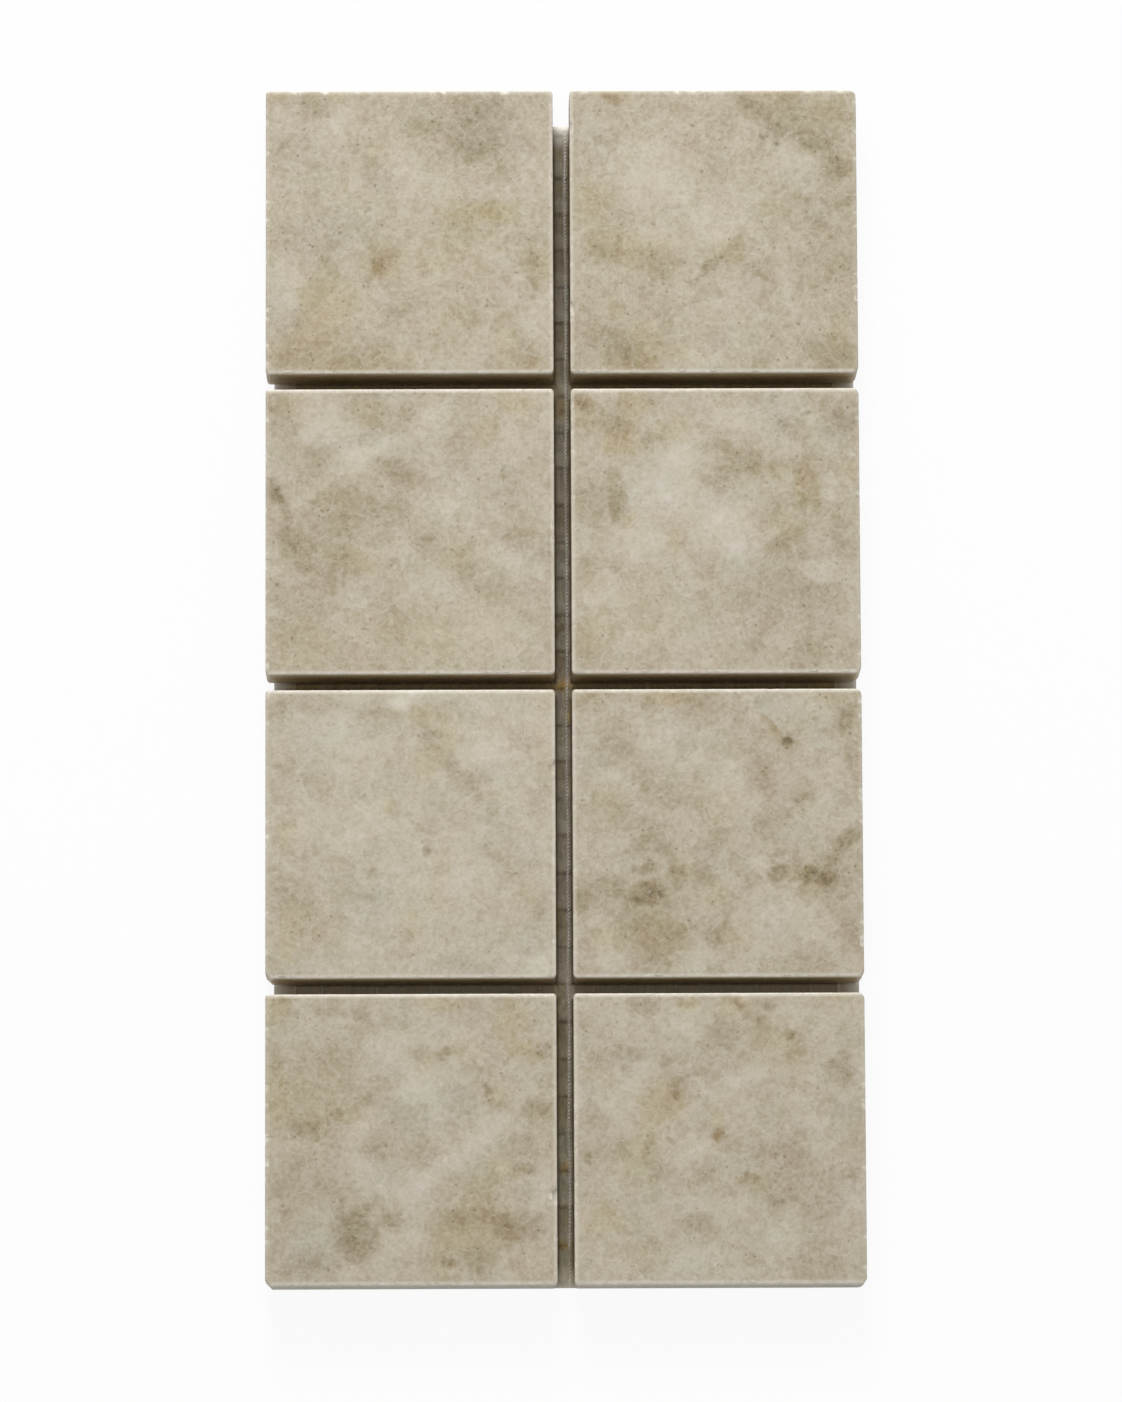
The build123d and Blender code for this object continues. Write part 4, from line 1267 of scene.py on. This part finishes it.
# painted light that makes the film of the near row joint paler
ROW_JOINT_PAINTED_LIGHT = (0.0, 0.0, 0.25)
CORNER_RISE = 0.3 * MM
CORNER_REACH = 0.42 * MM
# a wider painted shade on the left, where the lamp, a little to the left, is hidden by that wall
LEFT_CORNER_REACH = 0.62 * MM  # against the left wall of the joint between the columns
# how dark the painted shade is against the stone
CORNER_DARK = 0.85
LINE_WIDTH = 0.4 * MM
LINE_FADE_SIZE = 12 * MM
LINE_PATCH_SIZE = 0.8 * MM
LINE_NOISE_STEP = 1.7  # sets the lines of neighbouring wefts apart in the noise
# how dark the painted shadow is along the near side of a weft
LINE_DARK = 0.8
THIN_OVER_WARP = 0.25
THIN_OVER_WEFT = 0.05
PALE_END_REACH = 4.0 * MM  # how far in from an open end the film is paler: thin glue, and painted light that gets in there
# the painted light at the near open end is weaker
NEAR_END_PALENESS = 0.4
END_TAPER = 0.5 * MM  # how far in from an open end it lies flat
STAINS = {  # as on the stone, but from the middle of the sheet
    "rust": [(0.4, 1.1, 1.2, 0.9, 0, 1.0), (-0.5, -92.6, 0.9, 0.6, 0, 0.3)],
    "tan": [(0.9, -4.7, 0.7, 1.2, 0, 0.9), (-0.3, -92.6, 1.2, 0.8, 0, 0.7), (-0.5, -80, 1.2, 1, 0, 0.8),
        (0, 47.3, 1.6, 2.4, 0, 0.6)],
}


def ease(value):
    """Cuts a value to the range from 0 to 1 and rounds both ends of it."""
    value = min(1.0, max(0.0, value))
    return value * value * (3 - 2 * value)


def weft_shadow(weft, past_weft, x):
    """How dark the painted shadow on the near side of a weft is."""
    line = ease(1 - abs(past_weft + WEFT_HALF + LINE_WIDTH / 2) / LINE_WIDTH)
    step = weft * LINE_NOISE_STEP
    line_strength = 0.5 + 0.5 * noise.noise(Vector((step, x / LINE_FADE_SIZE, 0.3)))
    patches = ease(0.6 + 1.4 * noise.noise(Vector((x / LINE_PATCH_SIZE, step, 0.8))))
    return line * line_strength * patches


stain_sums = mark_sums(np.array([vert.co / MM for vert in bm.verts]), STAINS)
film_marks = bm.verts.layers.float_vector.new("film_marks")
film_painted_shade = bm.verts.layers.float.new("film_painted_shade")
for vert, (_, olive, rust) in zip(bm.verts, stain_sums):
    x, y = vert.co.x, vert.co.y
    warp = round((x - MESH_MIDDLE_X) / WARP_PITCH)
    weft = round((y - MESH_SPLIT) / WEFT_PITCH - 0.5)
    past_weft = y - weft_y(weft, x)
    over_warp = math.exp(-(((x - warp_x(warp, y)) / WARP_SLOPE) ** 2))
    over_weft = ease(1 - (abs(past_weft) - WEFT_HALF) / WEFT_SLOPES[past_weft < 0])
    to_end = min(x - FAR_LOW.x, FAR_HIGH.x - x, y - NEAR_LOW.y, film_far - y)
    end = max(0.0, 1 - to_end / PALE_END_REACH)
    # the open ends: thin glue and painted light
    end_pale = end * (NEAR_END_PALENESS if to_end == y - NEAR_LOW.y else 1.0)
    depths = [inside(y, joint) for joint in ROW_JOINTS]
    row_joint = depths.index(max(depths))
    # in a row joint: olive painted shade, and painted light in the near joint
    if max(depths) > 0 > inside(x, COLUMN_JOINT):
        olive = max(olive, ROW_JOINT_OLIVE_SHADE[row_joint])
        warp_rise = ROW_JOINT_RISE[row_joint]
        thin_and_lit = max(end_pale, ROW_JOINT_PAINTED_LIGHT[row_joint])
        corner_reach = CORNER_REACH
    else:
        warp_rise = WARP_RISE
        thin_and_lit = max(end_pale, THIN_OVER_WARP * over_warp, THIN_OVER_WEFT * over_weft)
        # the painted shade reaches further at the left wall of the column joint
        corner_reach = LEFT_CORNER_REACH if x < 0 else CORNER_REACH
    corner = min(1.0, max(0.0, 1 - from_stone(vert.co) / corner_reach))
    ripple = FILM_RIPPLE * noise.noise(vert.co / RIPPLE_SIZE)
    lift = max(WEFT_RISE * over_weft, warp_rise * over_warp) + CORNER_RISE * corner ** 2
    vert.co.z = FILM_LEVEL + (lift + ripple) * ease(to_end / END_TAPER)
    vert[film_marks] = (thin_and_lit, max(0.0, olive), rust)
    # painted shade in the corners and painted shadow along the wefts
    vert[film_painted_shade] = max(CORNER_DARK * corner, LINE_DARK * weft_shadow(weft, past_weft, x)) * (1 - end)
skin = bmesh.ops.extrude_face_region(bm, geom=bm.faces[:])["geom"]
lowered = [item for item in skin if isinstance(item, bmesh.types.BMVert)]
bmesh.ops.translate(bm, vec=(0, 0, -FILM_THICKNESS), verts=lowered)
bmesh.ops.recalc_face_normals(bm, faces=bm.faces)
place_piece(bm, "glue_film", glue_finish())
